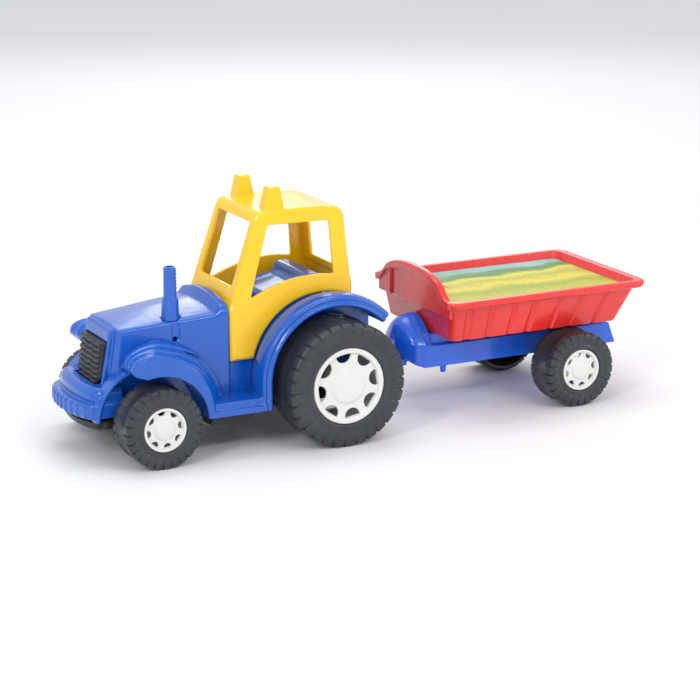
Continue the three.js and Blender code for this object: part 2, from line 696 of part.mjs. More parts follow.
function add(name, body, color, roughness, metalness = 0) {
  const material = new THREE.MeshStandardMaterial({ color, roughness, metalness });
  const mesh = new THREE.Mesh(toGeometry(body), material);
  mesh.name = name;
  group.add(mesh);
}

function addWheelPair(place, wheel, x) {
  for (const [side, turn] of [['left', (body) => body], ['right', mirrored]]) {
    add(`${place}_tyre_${side}`, turn(tyre(wheel, x)), COLOURS.tyre, 0.6);
    add(`${place}_hub_${side}`, turn(hub(wheel, x)), COLOURS.white, 0.4);
  }
  add(`${place}_axle`, axle(wheel, x), COLOURS.steel, 0.3, 1);
}

add('body_shell', bodyShell(), COLOURS.blue, 0.25);
add('fenders_left', sideFenders(), COLOURS.blue, 0.25);
add('fenders_right', mirrored(sideFenders()), COLOURS.blue, 0.25);
add('chassis_plate', chassisPlate(), COLOURS.black, 0.5);
add('grille_insert', grille(), COLOURS.black, 0.45);
add('exhaust_stack', exhaustStack(), COLOURS.blue, 0.25);
add('cab', cab(), COLOURS.yellow, 0.3);
add('seat', seat(), COLOURS.blue, 0.3);
add('hitch_pin', hitchPin(), COLOURS.black, 0.5);
SCREW_PLACES.forEach(([x, y], i) => add(`chassis_screw_${i + 1}`, screw(x, y), COLOURS.steel, 0.35, 1));
addWheelPair('front', SMALL_WHEEL, FRONT_AXLE_X);
addWheelPair('rear', BIG_WHEEL, 0);
addWheelPair('trailer', SMALL_WHEEL, TRAILER_AXLE_X);
add('trailer_chassis', trailerChassis(), COLOURS.trailerBlue, 0.25);
add('tub', tub(), COLOURS.red, 0.3);
add('tub_hinge_pin', tipPin(), COLOURS.steel, 0.3, 1);
add('scene_card', sceneCard(), COLOURS.card, 0.7);

// The origin is the middle of the whole toy's footprint, on the ground.
const extent = new THREE.Box3().setFromObject(group);
group.position.x = -(extent.min.x + extent.max.x) / 2;

export default group;
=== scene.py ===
"""A toy farm tractor and its tipping trailer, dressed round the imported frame.

Inside the classes every length is in millimetres, measured from the rear axle: X forwards,
Y to the tractor's left, Z up from the ground. Workshop turns them into the frame's metres.
"""

import logging
import math
from dataclasses import dataclass, field
from enum import Enum

import bmesh
import bpy
from mathutils import Matrix, Vector


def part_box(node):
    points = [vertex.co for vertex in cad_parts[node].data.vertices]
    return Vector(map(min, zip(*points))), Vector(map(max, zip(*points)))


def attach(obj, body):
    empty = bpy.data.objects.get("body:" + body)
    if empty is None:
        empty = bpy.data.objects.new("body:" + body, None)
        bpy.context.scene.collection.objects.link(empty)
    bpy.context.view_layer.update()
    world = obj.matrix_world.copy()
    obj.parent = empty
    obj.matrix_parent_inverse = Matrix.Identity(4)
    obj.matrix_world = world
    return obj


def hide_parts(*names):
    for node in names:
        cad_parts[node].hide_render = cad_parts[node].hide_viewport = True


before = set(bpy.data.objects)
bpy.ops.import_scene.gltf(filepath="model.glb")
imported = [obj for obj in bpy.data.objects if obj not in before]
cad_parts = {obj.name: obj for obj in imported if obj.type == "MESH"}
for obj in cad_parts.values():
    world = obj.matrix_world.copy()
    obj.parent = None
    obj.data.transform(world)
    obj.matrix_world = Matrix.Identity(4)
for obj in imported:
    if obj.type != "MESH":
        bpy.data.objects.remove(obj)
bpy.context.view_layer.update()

Point = tuple[float, float]
Outline = list[Point]
Span = tuple[float, float]
Colour = tuple[int, int, int]
Place = tuple[float, float, float]
Face = tuple[int, ...]

LOG = logging.getLogger("toy_tractor")
MM = 0.001

UNIT: Span = (0, 1)
NOISE_MIDDLE: Span = (0.3, 0.7)
MIX_FIRST, MIX_SECOND, MIX_RESULT = 6, 7, 2
FULL_TURN: Span = (0, 360)
CRISP_EDGE = 30


# ---- small geometry ---------------------------------------------------------------------


class Axis(Enum):
    """The direction in which an outline is extended into a solid."""

    X = "x"
    Y = "y"
    Z = "z"

    def place(self, u: float, v: float, w: float) -> Place:
        """Put an outline's point (u, v) at the distance w along this axis.

        Args:
            u: The outline's first coordinate.
            v: The outline's second coordinate.
            w: The distance along the axis.

        Returns:
            The point as x, y, z.
        """
        return {Axis.X: (w, u, v), Axis.Y: (u, w, v), Axis.Z: (u, v, w)}[self]


class Side(Enum):
    """The tractor's left or right, with the sign of its Y."""

    LEFT = 1
    RIGHT = -1

    @property
    def label(self) -> str:
        """The side's word in node names."""
        return self.name.lower()


def arc(centre: Point, radius: float, start: float, end: float, steps: int) -> Outline:
    """List points along a circular arc.

    Args:
        centre: The circle's centre.
        radius: Its radius.
        start: The first angle, in degrees.
        end: The last angle, in degrees.
        steps: How many chords the arc has.

    Returns:
        steps + 1 points.
    """
    angles = (math.radians(start + (end - start) * i / steps) for i in range(steps + 1))
    return [(centre[0] + radius * math.cos(a), centre[1] + radius * math.sin(a)) for a in angles]


def rounded(outline: Outline, radius: float, steps: int = 4) -> Outline:
    """Round every corner of a closed outline with a quadratic curve.

    Args:
        outline: The corners in order.
        radius: How far along each side the rounding starts.
        steps: Chords per corner.

    Returns:
        The rounded outline.
    """
    made: Outline = []
    for i, corner in enumerate(outline):
        here = Vector(corner)
        before, after = Vector(outline[i - 1]), Vector(outline[(i + 1) % len(outline)])
        reach = [min(radius, (other - here).length * 0.45) for other in (before, after)]
        start = here + (before - here).normalized() * reach[0]
        end = here + (after - here).normalized() * reach[1]
        for k in range(steps + 1):
            t = k / steps
            point = start * (1 - t) ** 2 + here * (2 * t * (1 - t)) + end * t**2
            made.append((point.x, point.y))
    return made


def curved(points: Outline, steps: int) -> Outline:
    """Draw a smooth open curve through points.

    Args:
        points: The points that the curve passes.
        steps: Chords between each two of them.

    Returns:
        The points along the curve, both ends included.
    """
    ends = [points[0], *points, points[-1]]
    made: Outline = []
    for i in range(1, len(ends) - 2):
        a, b, c, d = (Vector(p) for p in ends[i - 1 : i + 3])
        for k in range(steps):
            t = k / steps
            point = 0.5 * (2 * b + (c - a) * t + (2 * a - 5 * b + 4 * c - d) * t**2)
            point += 0.5 * (3 * b - a - 3 * c + d) * t**3
            made.append((point.x, point.y))
    return [*made, points[-1]]


def inset(outline: Outline, depth: float) -> Outline:
    """Move a closed outline's sides inwards.

    Args:
        outline: The corners in order, either way round.
        depth: How far the sides move; below zero they move outwards.

    Returns:
        The moved outline, with as many points.
    """
    area = sum(a[0] * b[1] - b[0] * a[1] for a, b in zip(outline, outline[1:] + outline[:1]))
    turn = 1 if area > 0 else -1
    made: Outline = []
    for i, corner in enumerate(outline):
        here = Vector(corner)
        into = (here - Vector(outline[i - 1])).normalized()
        out = (Vector(outline[(i + 1) % len(outline)]) - here).normalized()
        normals = [Vector((-d.y, d.x)) * turn for d in (into, out)]
        middle = normals[0] + normals[1]
        middle = middle / max(middle.length_squared / 2, 0.35)
        moved = here + middle * depth
        made.append((moved.x, moved.y))
    return made


def rounded_plan(x: Span, half: float, corner: float, steps: int = 8) -> Outline:
    """Draw a rectangle with round corners, seen from above.

    Args:
        x: Its rear and front.
        half: Its half width across.
        corner: The corners' radius.
        steps: Chords per corner.

    Returns:
        The outline.
    """
    rear, front = x[0] + corner, x[1] - corner
    side = half - corner
    return [
        *arc((front, side), corner, 0, 90, steps),
        *arc((rear, side), corner, 90, 180, steps),
        *arc((rear, -side), corner, 180, 270, steps),
        *arc((front, -side), corner, 270, 360, steps),
    ]


def ring_faces(here: int, after: int, count: int) -> list[Face]:
    """Join two rings of points with a band of faces.

    Args:
        here: The number of the first ring's first point.
        after: The number of the second ring's first point.
        count: How many points each ring has.

    Returns:
        One four-cornered face for each side of the ring.
    """
    following = [(i + 1) % count for i in range(count)]
    return [(here + i, here + j, after + j, after + i) for i, j in enumerate(following)]


def smooth_step(low: float, high: float, value: float) -> float:
    """Ease from 0 at low to 1 at high."""
    t = min(1.0, max(0.0, (value - low) / (high - low)))
    return t * t * (3 - 2 * t)


# ---- solids -----------------------------------------------------------------------------


class Solid:
    """A closed mesh in millimetres, in the tractor's own axes."""

    def __init__(self, mesh: bpy.types.Mesh) -> None:
        """Keep the mesh that the solid is made of."""
        self.mesh = mesh

    @classmethod
    def skinned(cls, points: list[Place], faces: list[Face]) -> "Solid":
        """Close points and faces into a solid whose faces point outwards.

        Args:
            points: The corners.
            faces: Corner numbers of each face.

        Returns:
            The solid.
        """
        mesh = bpy.data.meshes.new("stock")
        mesh.from_pydata(points, [], faces)
        bm = bmesh.new()
        bm.from_mesh(mesh)
        bmesh.ops.remove_doubles(bm, verts=bm.verts, dist=1e-4)
        bmesh.ops.dissolve_degenerate(bm, edges=bm.edges, dist=1e-5)
        loose = [e for e in bm.edges if not e.link_faces]
        bmesh.ops.delete(bm, geom=loose, context="EDGES")
        bmesh.ops.recalc_face_normals(bm, faces=bm.faces)
        if bm.calc_volume(signed=True) < 0:
            bmesh.ops.reverse_faces(bm, faces=bm.faces)
        bm.to_mesh(mesh)
        bm.free()
        return cls(mesh)

    @classmethod
    def stack(cls, axis: Axis, sections: list[tuple[Outline, float]]) -> "Solid":
        """Skin over outlines that follow each other along an axis.

        Args:
            axis: The direction that the outlines follow each other in.
            sections: Each outline with its distance; all have as many points.

        Returns:
            The closed solid.
        """
        count = len(sections[0][0])
        points = [axis.place(u, v, w) for outline, w in sections for u, v in outline]
        last = (len(sections) - 1) * count
        faces = [tuple(reversed(range(count))), tuple(range(last, last + count))]
        for ring in range(len(sections) - 1):
            faces += ring_faces(ring * count, (ring + 1) * count, count)
        return cls.skinned(points, faces)

    @classmethod
    def prism(cls, axis: Axis, outline: Outline, span: Span) -> "Solid":
        """Extend one outline along an axis over a span."""
        return cls.stack(axis, [(outline, span[0]), (outline, span[1])])

    @classmethod
    def box(cls, x: Span, y: Span, z: Span) -> "Solid":
        """Make a block between three spans."""
        return cls.prism(Axis.Z, [(x[0], y[0]), (x[1], y[0]), (x[1], y[1]), (x[0], y[1])], z)

    @classmethod
    def post(cls, foot: float, top: float, z: Span, at: Point, steps: int = 40) -> "Solid":
        """Stand a round post up.

        Args:
            foot: The radius at its foot.
            top: The radius at its top.
            z: Its lowest and highest level.
            at: Where it stands, in X and Y.
            steps: Sides round it.

        Returns:
            The post.
        """
        rings = [(arc(at, r, *FULL_TURN, steps)[:-1], level) for r, level in zip((foot, top), z)]
        return cls.stack(Axis.Z, rings)

    @classmethod
    def swept(cls, profile: Outline, centre: Point, angles: Span, steps: int) -> "Solid":
        """Carry a closed profile round a line along Y.

        Args:
            profile: Corners as radius and Y.
            centre: The line's X and Z.
            angles: The first and last angle, in degrees from +X towards +Z.
            steps: Chords round the sweep.

        Returns:
            The closed solid.
        """
        whole = abs(angles[1] - angles[0]) >= 360
        count = len(profile)
        rings = steps if whole else steps + 1
        points = []
        for k in range(rings):
            angle = math.radians(angles[0] + (angles[1] - angles[0]) * k / steps)
            cosine, sine = math.cos(angle), math.sin(angle)
            points += [(centre[0] + radius * cosine, y, centre[1] + radius * sine) for radius, y in profile]
        faces = []
        for k in range(steps):
            faces += ring_faces(k * count, ((k + 1) % rings) * count, count)
        if not whole:
            faces += [tuple(range(count)), tuple(reversed(range(steps * count, rings * count)))]
        return cls.skinned(points, faces)

    @classmethod
    def rod(cls, radius: float, y: Span, at: Point, steps: int = 40) -> "Solid":
        """Lay a round rod across, along Y."""
        return cls.prism(Axis.Y, arc(at, radius, *FULL_TURN, steps)[:-1], y)

    @classmethod
    def eased_rod(cls, radius: float, half: float, at: Point) -> "Solid":
        """Turn a rod along Y whose ends are eased.

        Args:
            radius: Its radius.
            half: Half its length.
            at: Its X and Z.

        Returns:
            The rod, from -half to half in Y.
        """
        tip, ease = radius - ROD_EASE, half - ROD_EASE
        profile = [(0, -half), (tip, -half), (radius, -ease), (radius, ease), (tip, half), (0, half)]
        return cls.swept(profile, at, FULL_TURN, 48)

    def _combined(self, others: list["Solid"], operation: str) -> "Solid":
        """Run one boolean operation with each other solid in turn.

        Args:
            others: The solids that are joined on or cut away.
            operation: UNION or DIFFERENCE.

        Returns:
            The new solid.
        """
        base = bpy.data.objects.new("base", self.mesh)
        tools = [bpy.data.objects.new("tool", other.mesh) for other in others]
        for item in (base, *tools):
            bpy.context.scene.collection.objects.link(item)
        for tool in tools:
            step = base.modifiers.new("step", "BOOLEAN")
            step.operation, step.solver, step.object = operation, "MANIFOLD", tool
        made = self._evaluated(base)
        for item in tools:
            bpy.data.objects.remove(item)
        if not made.vertices:
            raise ValueError(f"a {operation} left nothing")
        return Solid(made)

    @staticmethod
    def _evaluated(item: bpy.types.Object) -> bpy.types.Mesh:
        """Take an object's mesh with its modifiers applied, and remove the object.

        Args:
            item: The object.

        Returns:
            The finished mesh.
        """
        graph = bpy.context.evaluated_depsgraph_get()
        made = bpy.data.meshes.new_from_object(item.evaluated_get(graph))
        bpy.data.objects.remove(item)
        return made

    def joined(self, *others: "Solid") -> "Solid":
        """Join other solids on."""
        return self._combined(list(others), "UNION")

    def without(self, *others: "Solid") -> "Solid":
        """Cut other solids away."""
        return self._combined(list(others), "DIFFERENCE")

    def changed(self, matrix: Matrix) -> "Solid":
        """Copy the solid through a matrix, with its faces still pointing outwards.

        Args:
            matrix: The move, turn, scale or mirror.

        Returns:
            The changed copy.
        """
        mesh = self.mesh.copy()
        mesh.transform(matrix)
        if matrix.determinant() < 0:
            mesh.flip_normals()
        return Solid(mesh)

    def moved(self, x: float = 0, y: float = 0, z: float = 0) -> "Solid":
        """Copy the solid to another place."""
        return self.changed(Matrix.Translation((x, y, z)))

    def mirrored(self) -> "Solid":
        """Copy the solid to the tractor's other side."""
        return self.changed(Matrix.Scale(-1, 4, (0, 1, 0)))

    def moulded(self, voxel: float, passes: int) -> "Solid":
        """Give the solid the small round edges that a moulding has.

        Args:
            voxel: The size of the new faces.
            passes: How often they are smoothed.

        Returns:
            The moulded solid.
        """
        item = bpy.data.objects.new("moulding", self.mesh)
        bpy.context.scene.collection.objects.link(item)
        cast = item.modifiers.new("cast", "REMESH")
        cast.mode, cast.voxel_size, cast.use_smooth_shade = "VOXEL", voxel, True
        polish = item.modifiers.new("polish", "SMOOTH")
        polish.factor, polish.iterations = 0.5, passes
        return Solid(self._evaluated(item))


# ---- finishes ---------------------------------------------------------------------------


def linear(colour: Colour, gain: float = 1.0) -> tuple[float, float, float, float]:
    """Turn a display colour into the renderer's.

    Args:
        colour: Red, green and blue from 0 to 255.
        gain: How much brighter it becomes.

    Returns:
        Red, green, blue and alpha.
    """
    parts = [c / 255 for c in colour]
    made = [p / 12.92 if p <= 0.04045 else ((p + 0.055) / 1.055) ** 2.4 for p in parts]
    return (*(min(1.0, p * gain) for p in made), 1.0)


class NodeBench:
    """One material's nodes, and short ways to add to them."""

    def __init__(self, name: str) -> None:
        """Make the material with its shader and the object's own coordinates.

        Args:
            name: The material's name.
        """
        self.material = bpy.data.materials.new(name)
        self.material.use_nodes = True
        self.tree = self.material.node_tree
        self.shader = self.tree.nodes["Principled BSDF"]
        self.place = self.add("ShaderNodeTexCoord").outputs["Object"]

    def add(self, kind: str, **values: object) -> bpy.types.Node:
        """Add a node and set its properties.

        Args:
            kind: The node's type.
            **values: Its properties by name.

        Returns:
            The node.
        """
        node = self.tree.nodes.new(kind)
        for name, value in values.items():
            setattr(node, name, value)
        return node

    def link(self, source: bpy.types.NodeSocket, target: bpy.types.NodeSocket) -> None:
        """Join two sockets."""
        self.tree.links.new(source, target)

    def noise(
        self,
        scale: float,
        detail: float = 2.0,
        stretch: Point | None = None,
    ) -> bpy.types.NodeSocket:
        """Add a noise pattern.

        Args:
            scale: How many grains there are to the metre, about.
            detail: How many finer layers it has.
            stretch: Factors for Y and Z, to draw the pattern out.

        Returns:
            The pattern's value, from 0 to 1.
        """
        node = self.add("ShaderNodeTexNoise")
        node.inputs["Scale"].default_value = scale
        node.inputs["Detail"].default_value = detail
        source = self.place
        if stretch:
            mapping = self.add("ShaderNodeMapping")
            mapping.inputs["Scale"].default_value = (1.0, *stretch)
            self.link(source, mapping.inputs["Vector"])
            source = mapping.outputs["Vector"]
        self.link(source, node.inputs["Vector"])
        return node.outputs["Fac"]

    def ranged(self, source: bpy.types.NodeSocket, start: Span, end: Span) -> bpy.types.NodeSocket:
        """Map a value from one range to another, held at its ends.

        Args:
            source: The value.
            start: The range that it comes from.
            end: The range that it is mapped to.

        Returns:
            The mapped value.
        """
        node = self.add("ShaderNodeMapRange")
        for name, value in zip(("From Min", "From Max", "To Min", "To Max"), (*start, *end)):
            node.inputs[name].default_value = value
        self.link(source, node.inputs["Value"])
        return node.outputs["Result"]

    def mixed(
        self,
        share: bpy.types.NodeSocket,
        first: object,
        second: object,
    ) -> bpy.types.NodeSocket:
        """Mix two colours, each given as a socket or as four numbers.

        Args:
            share: How much of the second colour there is, from 0 to 1.
            first: The first colour.
            second: The second colour.

        Returns:
            The mixed colour.
        """
        node = self.add("ShaderNodeMix", data_type="RGBA")
        self.link(share, node.inputs["Factor"])
        for place, value in ((MIX_FIRST, first), (MIX_SECOND, second)):
            if isinstance(value, bpy.types.NodeSocket):
                self.link(value, node.inputs[place])
            else:
                node.inputs[place].default_value = value
        return node.outputs[MIX_RESULT]

    def product(self, *values: bpy.types.NodeSocket) -> bpy.types.NodeSocket:
        """Multiply values with each other.

        Args:
            *values: Two or more values.

        Returns:
            Their product.
        """
        made = values[0]
        for value in values[1:]:
            node = self.add("ShaderNodeMath", operation="MULTIPLY")
            self.link(made, node.inputs[0])
            self.link(value, node.inputs[1])
            made = node.outputs["Value"]
        return made

    def colour(self, source: bpy.types.NodeSocket) -> None:
        """Give the surface its colour."""
        self.link(source, self.shader.inputs["Base Color"])

    def haze(self, scale: float, detail: float, span: Span) -> None:
        """Let the roughness wander over a span."""
        self.link(self.ranged(self.noise(scale, detail), NOISE_MIDDLE, span), self.shader.inputs["Roughness"])

    def bump(self, height: bpy.types.NodeSocket, strength: float, distance: float) -> None:
        """Raise the surface by a pattern, on top of any bump that is already there.

        Args:
            height: The pattern.
            strength: How strongly it counts, from 0 to 1.
            distance: The height that 1 stands for, in metres.
        """
        node = self.add("ShaderNodeBump")
        node.inputs["Strength"].default_value = strength
        node.inputs["Distance"].default_value = distance
        self.link(height, node.inputs["Height"])
        normal = self.shader.inputs["Normal"]
        if normal.is_linked:
            self.link(normal.links[0].from_socket, node.inputs["Normal"])
        self.link(node.outputs["Normal"], normal)

    def edges(self, start: float, end: float) -> bpy.types.NodeSocket:
        """Find the surface's convex edges, from 0 on the flat to 1 on an edge."""
        node = self.add("ShaderNodeNewGeometry")
        return self.ranged(node.outputs["Pointiness"], (start, end), (0.0, 1.0))


@dataclass(frozen=True)
class GlossPlastic:
    """Injection-moulded plastic: even colour, soft flow marks, lightly rubbed edges with a painted edge
    highlight, and painted shade in its creases.

    Attributes:
        name: The material's name.
        colour: Its display colour.
        roughness: The middle of its roughness.
        rub_and_highlight: How far its edges turn lighter, partly rubbing and partly a painted highlight.
        glow: How much light passes through its skin.
    """

    name: str
    colour: Colour
    roughness: float = 0.22
    rub_and_highlight: float = 0.25
    glow: float = 0.0

    def material(self) -> bpy.types.Material:
        """Build the node material.

        Returns:
            The material.
        """
        bench = NodeBench(self.name)
        shader = bench.shader
        cloud = bench.ranged(bench.noise(22, 3), NOISE_MIDDLE, UNIT)
        base = bench.mixed(cloud, linear(self.colour, 0.95), linear(self.colour, 1.05))
        # Lighter convex edges: partly rubbing, partly a painted highlight.
        light = linear(tuple(min(255, int(c * 0.78 + 62)) for c in self.colour))
        rubbed_and_highlit = bench.ranged(bench.edges(0.515, 0.60), UNIT, (0, self.rub_and_highlight))
        worn_and_highlit = bench.mixed(rubbed_and_highlit, base, light)
        # Painted shade: concave creases darken towards a dark copy of the colour.
        crease_shade = bench.ranged(bench.edges(0.47, 0.36), UNIT, (0, 0.14))
        bench.colour(bench.mixed(crease_shade, worn_and_highlit, linear(self.colour, 0.55)))
        shader.inputs["Subsurface Weight"].default_value = self.glow
        shader.inputs["Subsurface Radius"].default_value = (0.004, 0.002, 0.001)
        shader.inputs["Subsurface Scale"].default_value = 0.6
        bench.haze(140, 4, (self.roughness - 0.06, self.roughness + 0.08))
        shader.inputs["IOR"].default_value = 1.5
        shader.inputs["Coat Weight"].default_value = 0.45
        shader.inputs["Coat Roughness"].default_value = 0.09
        bench.bump(bench.noise(60, 1), 0.18, 0.0006)
        bench.bump(bench.noise(2400, 2), 0.12, 0.00006)
        return bench.material


@dataclass(frozen=True)
class SoftBlack:
    """Soft black plastic with a satin skin, for tyres and trim.

    Attributes:
        name: The material's name.
        colour: Its display colour.
        roughness: The middle of its roughness.
        grain: How strongly its skin is grained.
    """

    name: str
    colour: Colour
    roughness: float = 0.42
    grain: float = 0.3

    def material(self) -> bpy.types.Material:
        """Build the node material.

        Returns:
            The material.
        """
        bench = NodeBench(self.name)
        cloud = bench.ranged(bench.noise(45, 4), NOISE_MIDDLE, UNIT)
        base = bench.mixed(cloud, linear(self.colour, 0.8), linear(self.colour, 1.18))
        # Lighter convex edges: partly dust, partly a painted highlight.
        dust_and_edge_highlight = bench.ranged(bench.edges(0.52, 0.66), UNIT, (0, 0.2))
        bench.colour(bench.mixed(dust_and_edge_highlight, base, linear(self.colour, 2.2)))
        bench.haze(60, 5, (self.roughness - 0.1, self.roughness + 0.1))
        bench.shader.inputs["Specular IOR Level"].default_value = 0.45
        bench.bump(bench.noise(1500, 3), self.grain, 0.0001)
        bench.bump(bench.noise(90, 2), 0.2, 0.0005)
        return bench.material


@dataclass(frozen=True)
class DrawnSteel:
    """Bright drawn rod, with fine lines along it and a little staining."""

    name: str = "drawn_steel"
    colour: Colour = (196, 198, 202)
    stained: Colour = (150, 148, 146)

    def material(self) -> bpy.types.Material:
        """Build the node material.

        Returns:
            The material.
        """
        bench = NodeBench(self.name)
        bench.shader.inputs["Metallic"].default_value = 1.0
        stain = bench.ranged(bench.noise(90, 4), (0.35, 0.7), UNIT)
        bench.colour(bench.mixed(stain, linear(self.colour), linear(self.stained)))
        lines = bench.noise(3000, 2, stretch=(0.03, 1.0))
        bench.link(bench.ranged(lines, NOISE_MIDDLE, (0.2, 0.38)), bench.shader.inputs["Roughness"])
        bench.bump(lines, 0.2, 0.00005)
        return bench.material


@dataclass(frozen=True)
class PrintedFarmland:
    """Matt card printed with a plain farm scene: sky, hedge, crop rows and a barn or two.

    Attributes:
        name: The material's name.
        near: Y of the edge where the fields start, in metres.
        far: Y of the edge that the sky ends at, in metres.
        bands: The colours from near to far, each with the share of the way that it is at.
        furrow: The colour of the crop rows' lines.
        barn: The barns' colour.
    """

    name: str
    near: float
    far: float
    bands: tuple[tuple[float, Colour], ...] = (
        (0.0, (206, 190, 36)),
        (0.2, (186, 184, 40)),
        (0.34, (150, 166, 48)),
        (0.46, (222, 200, 52)),
        (0.6, (170, 176, 46)),
        (0.7, (218, 206, 60)),
        (0.77, (84, 128, 60)),
        (0.86, (96, 140, 88)),
        (0.9, (124, 186, 170)),
        (1.0, (160, 208, 208)),
    )
    furrow: Colour = (128, 118, 34)
    barn: Colour = (176, 98, 58)

    def material(self) -> bpy.types.Material:
        """Build the node material.

        Returns:
            The material.
        """
        bench = NodeBench(self.name)
        split = bench.add("ShaderNodeSeparateXYZ")
        bench.link(bench.place, split.inputs["Vector"])
        wander = bench.ranged(bench.noise(16, 3), NOISE_MIDDLE, (-0.09, 0.09))
        level = bench.ranged(split.outputs["Y"], (self.near, self.far), UNIT)
        total = bench.add("ShaderNodeMath", operation="ADD")
        bench.link(level, total.inputs[0])
        bench.link(wander, total.inputs[1])
        bands = bench.add("ShaderNodeValToRGB")
        ramp = bands.color_ramp
        ramp.elements[0].color = linear(self.bands[0][1])
        ramp.elements[1].color = linear(self.bands[-1][1])
        for position, colour in self.bands[1:-1]:
            ramp.elements.new(position).color = linear(colour)
        bench.link(total.outputs["Value"], bands.inputs["Fac"])
        rows = bench.ranged(bench.noise(330, 2, stretch=(2.2, 1.0)), (0.56, 0.66), (0, 0.5))
        fields = bench.mixed(rows, bands.outputs["Color"], linear(self.furrow))
        cells = bench.add("ShaderNodeTexVoronoi", distance="CHEBYCHEV")
        cells.inputs["Scale"].default_value = 21.0
        bench.link(bench.place, cells.inputs["Vector"])
        barns = bench.ranged(cells.outputs["Distance"], (0.2, 0.215), (1, 0))
        ground = bench.ranged(level, (0.12, 0.14), UNIT)
        below = bench.ranged(level, (0.66, 0.70), (1, 0))
        bench.colour(bench.mixed(bench.product(barns, ground, below), fields, linear(self.barn)))
        bench.haze(300, 3, (0.42, 0.6))
        bench.bump(bench.noise(1800, 2), 0.15, 0.00008)
        return bench.material


@dataclass(frozen=True)
class PaleFloor:
    """The even, pale studio floor."""

    name: str = "pale_floor"
    colour: Colour = (238, 238, 240)

    def material(self) -> bpy.types.Material:
        """Build the node material.

        Returns:
            The material.
        """
        bench = NodeBench(self.name)
        cloud = bench.ranged(bench.noise(2, 2), NOISE_MIDDLE, UNIT)
        bench.colour(bench.mixed(cloud, linear(self.colour, 0.99), linear(self.colour, 1.01)))
        bench.shader.inputs["Roughness"].default_value = 0.65
        return bench.material


Finish = GlossPlastic | SoftBlack | DrawnSteel | PrintedFarmland | PaleFloor


# ---- workshop ---------------------------------------------------------------------------


@dataclass
class Piece:
    """What one finished piece is called, moves with and stands for.

    Attributes:
        name: The piece's name.
        body: The frame's body that it rides on.
        slot: The record's material slot; not used.
        nodes: The frame's nodes that it stands for.
    """

    name: str
    body: str
    slot: str
    nodes: tuple[str, ...] = ()


class Workshop:
    """Puts solids in the frame: in metres, in place, dressed and riding on their bodies."""

    def __init__(self) -> None:
        """Read where the rear axle is, which every length is measured from."""
        low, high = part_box("rear_axle")
        self.axle_x = (low.x + high.x) / 2
        self.to_frame = Matrix.Translation((self.axle_x, 0, 0)) @ Matrix.Scale(MM, 4)
        self.materials: dict[str, bpy.types.Material] = {}

    def material(self, finish: Finish) -> bpy.types.Material:
        """Give a finish's material, made once.

        Args:
            finish: The finish.

        Returns:
            Its material.
        """
        if finish.name not in self.materials:
            self.materials[finish.name] = finish.material()
        return self.materials[finish.name]

    def point(self, x: float, y: float, z: float) -> Vector:
        """Turn a point in millimetres from the axle into the frame's metres."""
        return self.to_frame @ Vector((x, y, z))

    def deliver(self, solid: Solid, piece: Piece, finish: Finish, sharp: float = 180.0) -> None:
        """Turn a solid into a piece of the visual model.

        Args:
            solid: The shape.
            piece: Its name, body, slot and the nodes that it stands for.
            finish: What it is made of.
            sharp: Edges that turn by more than this many degrees stay crisp.
        """
        mesh = solid.mesh.copy()
        mesh.name = piece.name
        mesh.transform(self.to_frame)
        self._shade(mesh, math.radians(sharp))
        mesh.materials.clear()
        mesh.materials.append(self.material(finish))
        item = bpy.data.objects.new(piece.name, mesh)
        bpy.context.scene.collection.objects.link(item)
        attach(item, piece.body)
        if piece.nodes:
            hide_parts(*piece.nodes)
        LOG.info("%s: %d faces", piece.name, len(mesh.polygons))

    @staticmethod
    def _shade(mesh: bpy.types.Mesh, sharp: float) -> None:
        """Shade a mesh smoothly, with crisp edges where it turns sharply.

        Args:
            mesh: The mesh.
            sharp: The turn that makes an edge crisp, in radians.
        """
        bm = bmesh.new()
        bm.from_mesh(mesh)
        for face in bm.faces:
            face.smooth = True
        for edge in bm.edges:
            edge.smooth = not (len(edge.link_faces) == 2 and edge.calc_face_angle() > sharp)
        bm.to_mesh(mesh)
        bm.free()


# ---- shared dimensions ------------------------------------------------------------------

GAP = 0.3
WALL = 2.8
FRONT_AXLE_X = 142.0
TRAILER_AXLE_X = -211.0
SMALL_RADIUS = 29.9
BIG_RADIUS = 47.25
AXLE_RADIUS = 1.6
AXLE_SUNK = 5.2
ROD_EASE = 0.5
BEARING_RADIUS = 2.1
SKIRT_Z = 31.0
DECK_Z = 98.0
BODY_REAR_X = -41.0
BODY_HALF = 36.3
FENDER_CENTRE = (0.0, 50.0)
HITCH_X = -52.0
TIP_AT = (-258.0, 55.3)
STACK_AT = (117.5, 26.0)
SCREW_PLACES = ((100, 16), (100, -16), (24, 22), (24, -22))

FLUTES = (
    (0.02, 0.075), (0.16, 0.20), (0.30, 0.335), (0.415, 0.455), (0.57, 0.605), (0.69, 0.73), (0.85, 0.885),
)
FLUTE_EASE = 0.012
FLUTE_SAMPLES = 260

BODY_BLUE = GlossPlastic("body_blue", (12, 88, 188))
TRAILER_BLUE = GlossPlastic("trailer_blue", (30, 98, 224))
CAB_YELLOW = GlossPlastic("cab_yellow", (255, 200, 8), roughness=0.25, rub_and_highlight=0.15, glow=0.12)
TUB_RED = GlossPlastic("tub_red", (228, 44, 38), roughness=0.25, rub_and_highlight=0.2, glow=0.06)
HUB_WHITE = GlossPlastic("hub_white", (222, 222, 218), roughness=0.34, rub_and_highlight=0.1, glow=0.05)
TYRE_BLACK = SoftBlack("tyre_black", (52, 55, 60), roughness=0.34)
TRIM_BLACK = SoftBlack("trim_black", (38, 39, 42))
STEEL = DrawnSteel()


# ---- tractor body -----------------------------------------------------------------------


def axle_slots() -> list[Solid]:
    """Make what is cut from below so that the tractor's two axles can be put in.

    Returns:
        A slot for the rear axle and one for the front axle.
    """
    return [
        Solid.box((x - BEARING_RADIUS, x + BEARING_RADIUS), (-80, 80), (20, z + BEARING_RADIUS))
        for x, z in ((0, BIG_RADIUS), (FRONT_AXLE_X, SMALL_RADIUS))
    ]


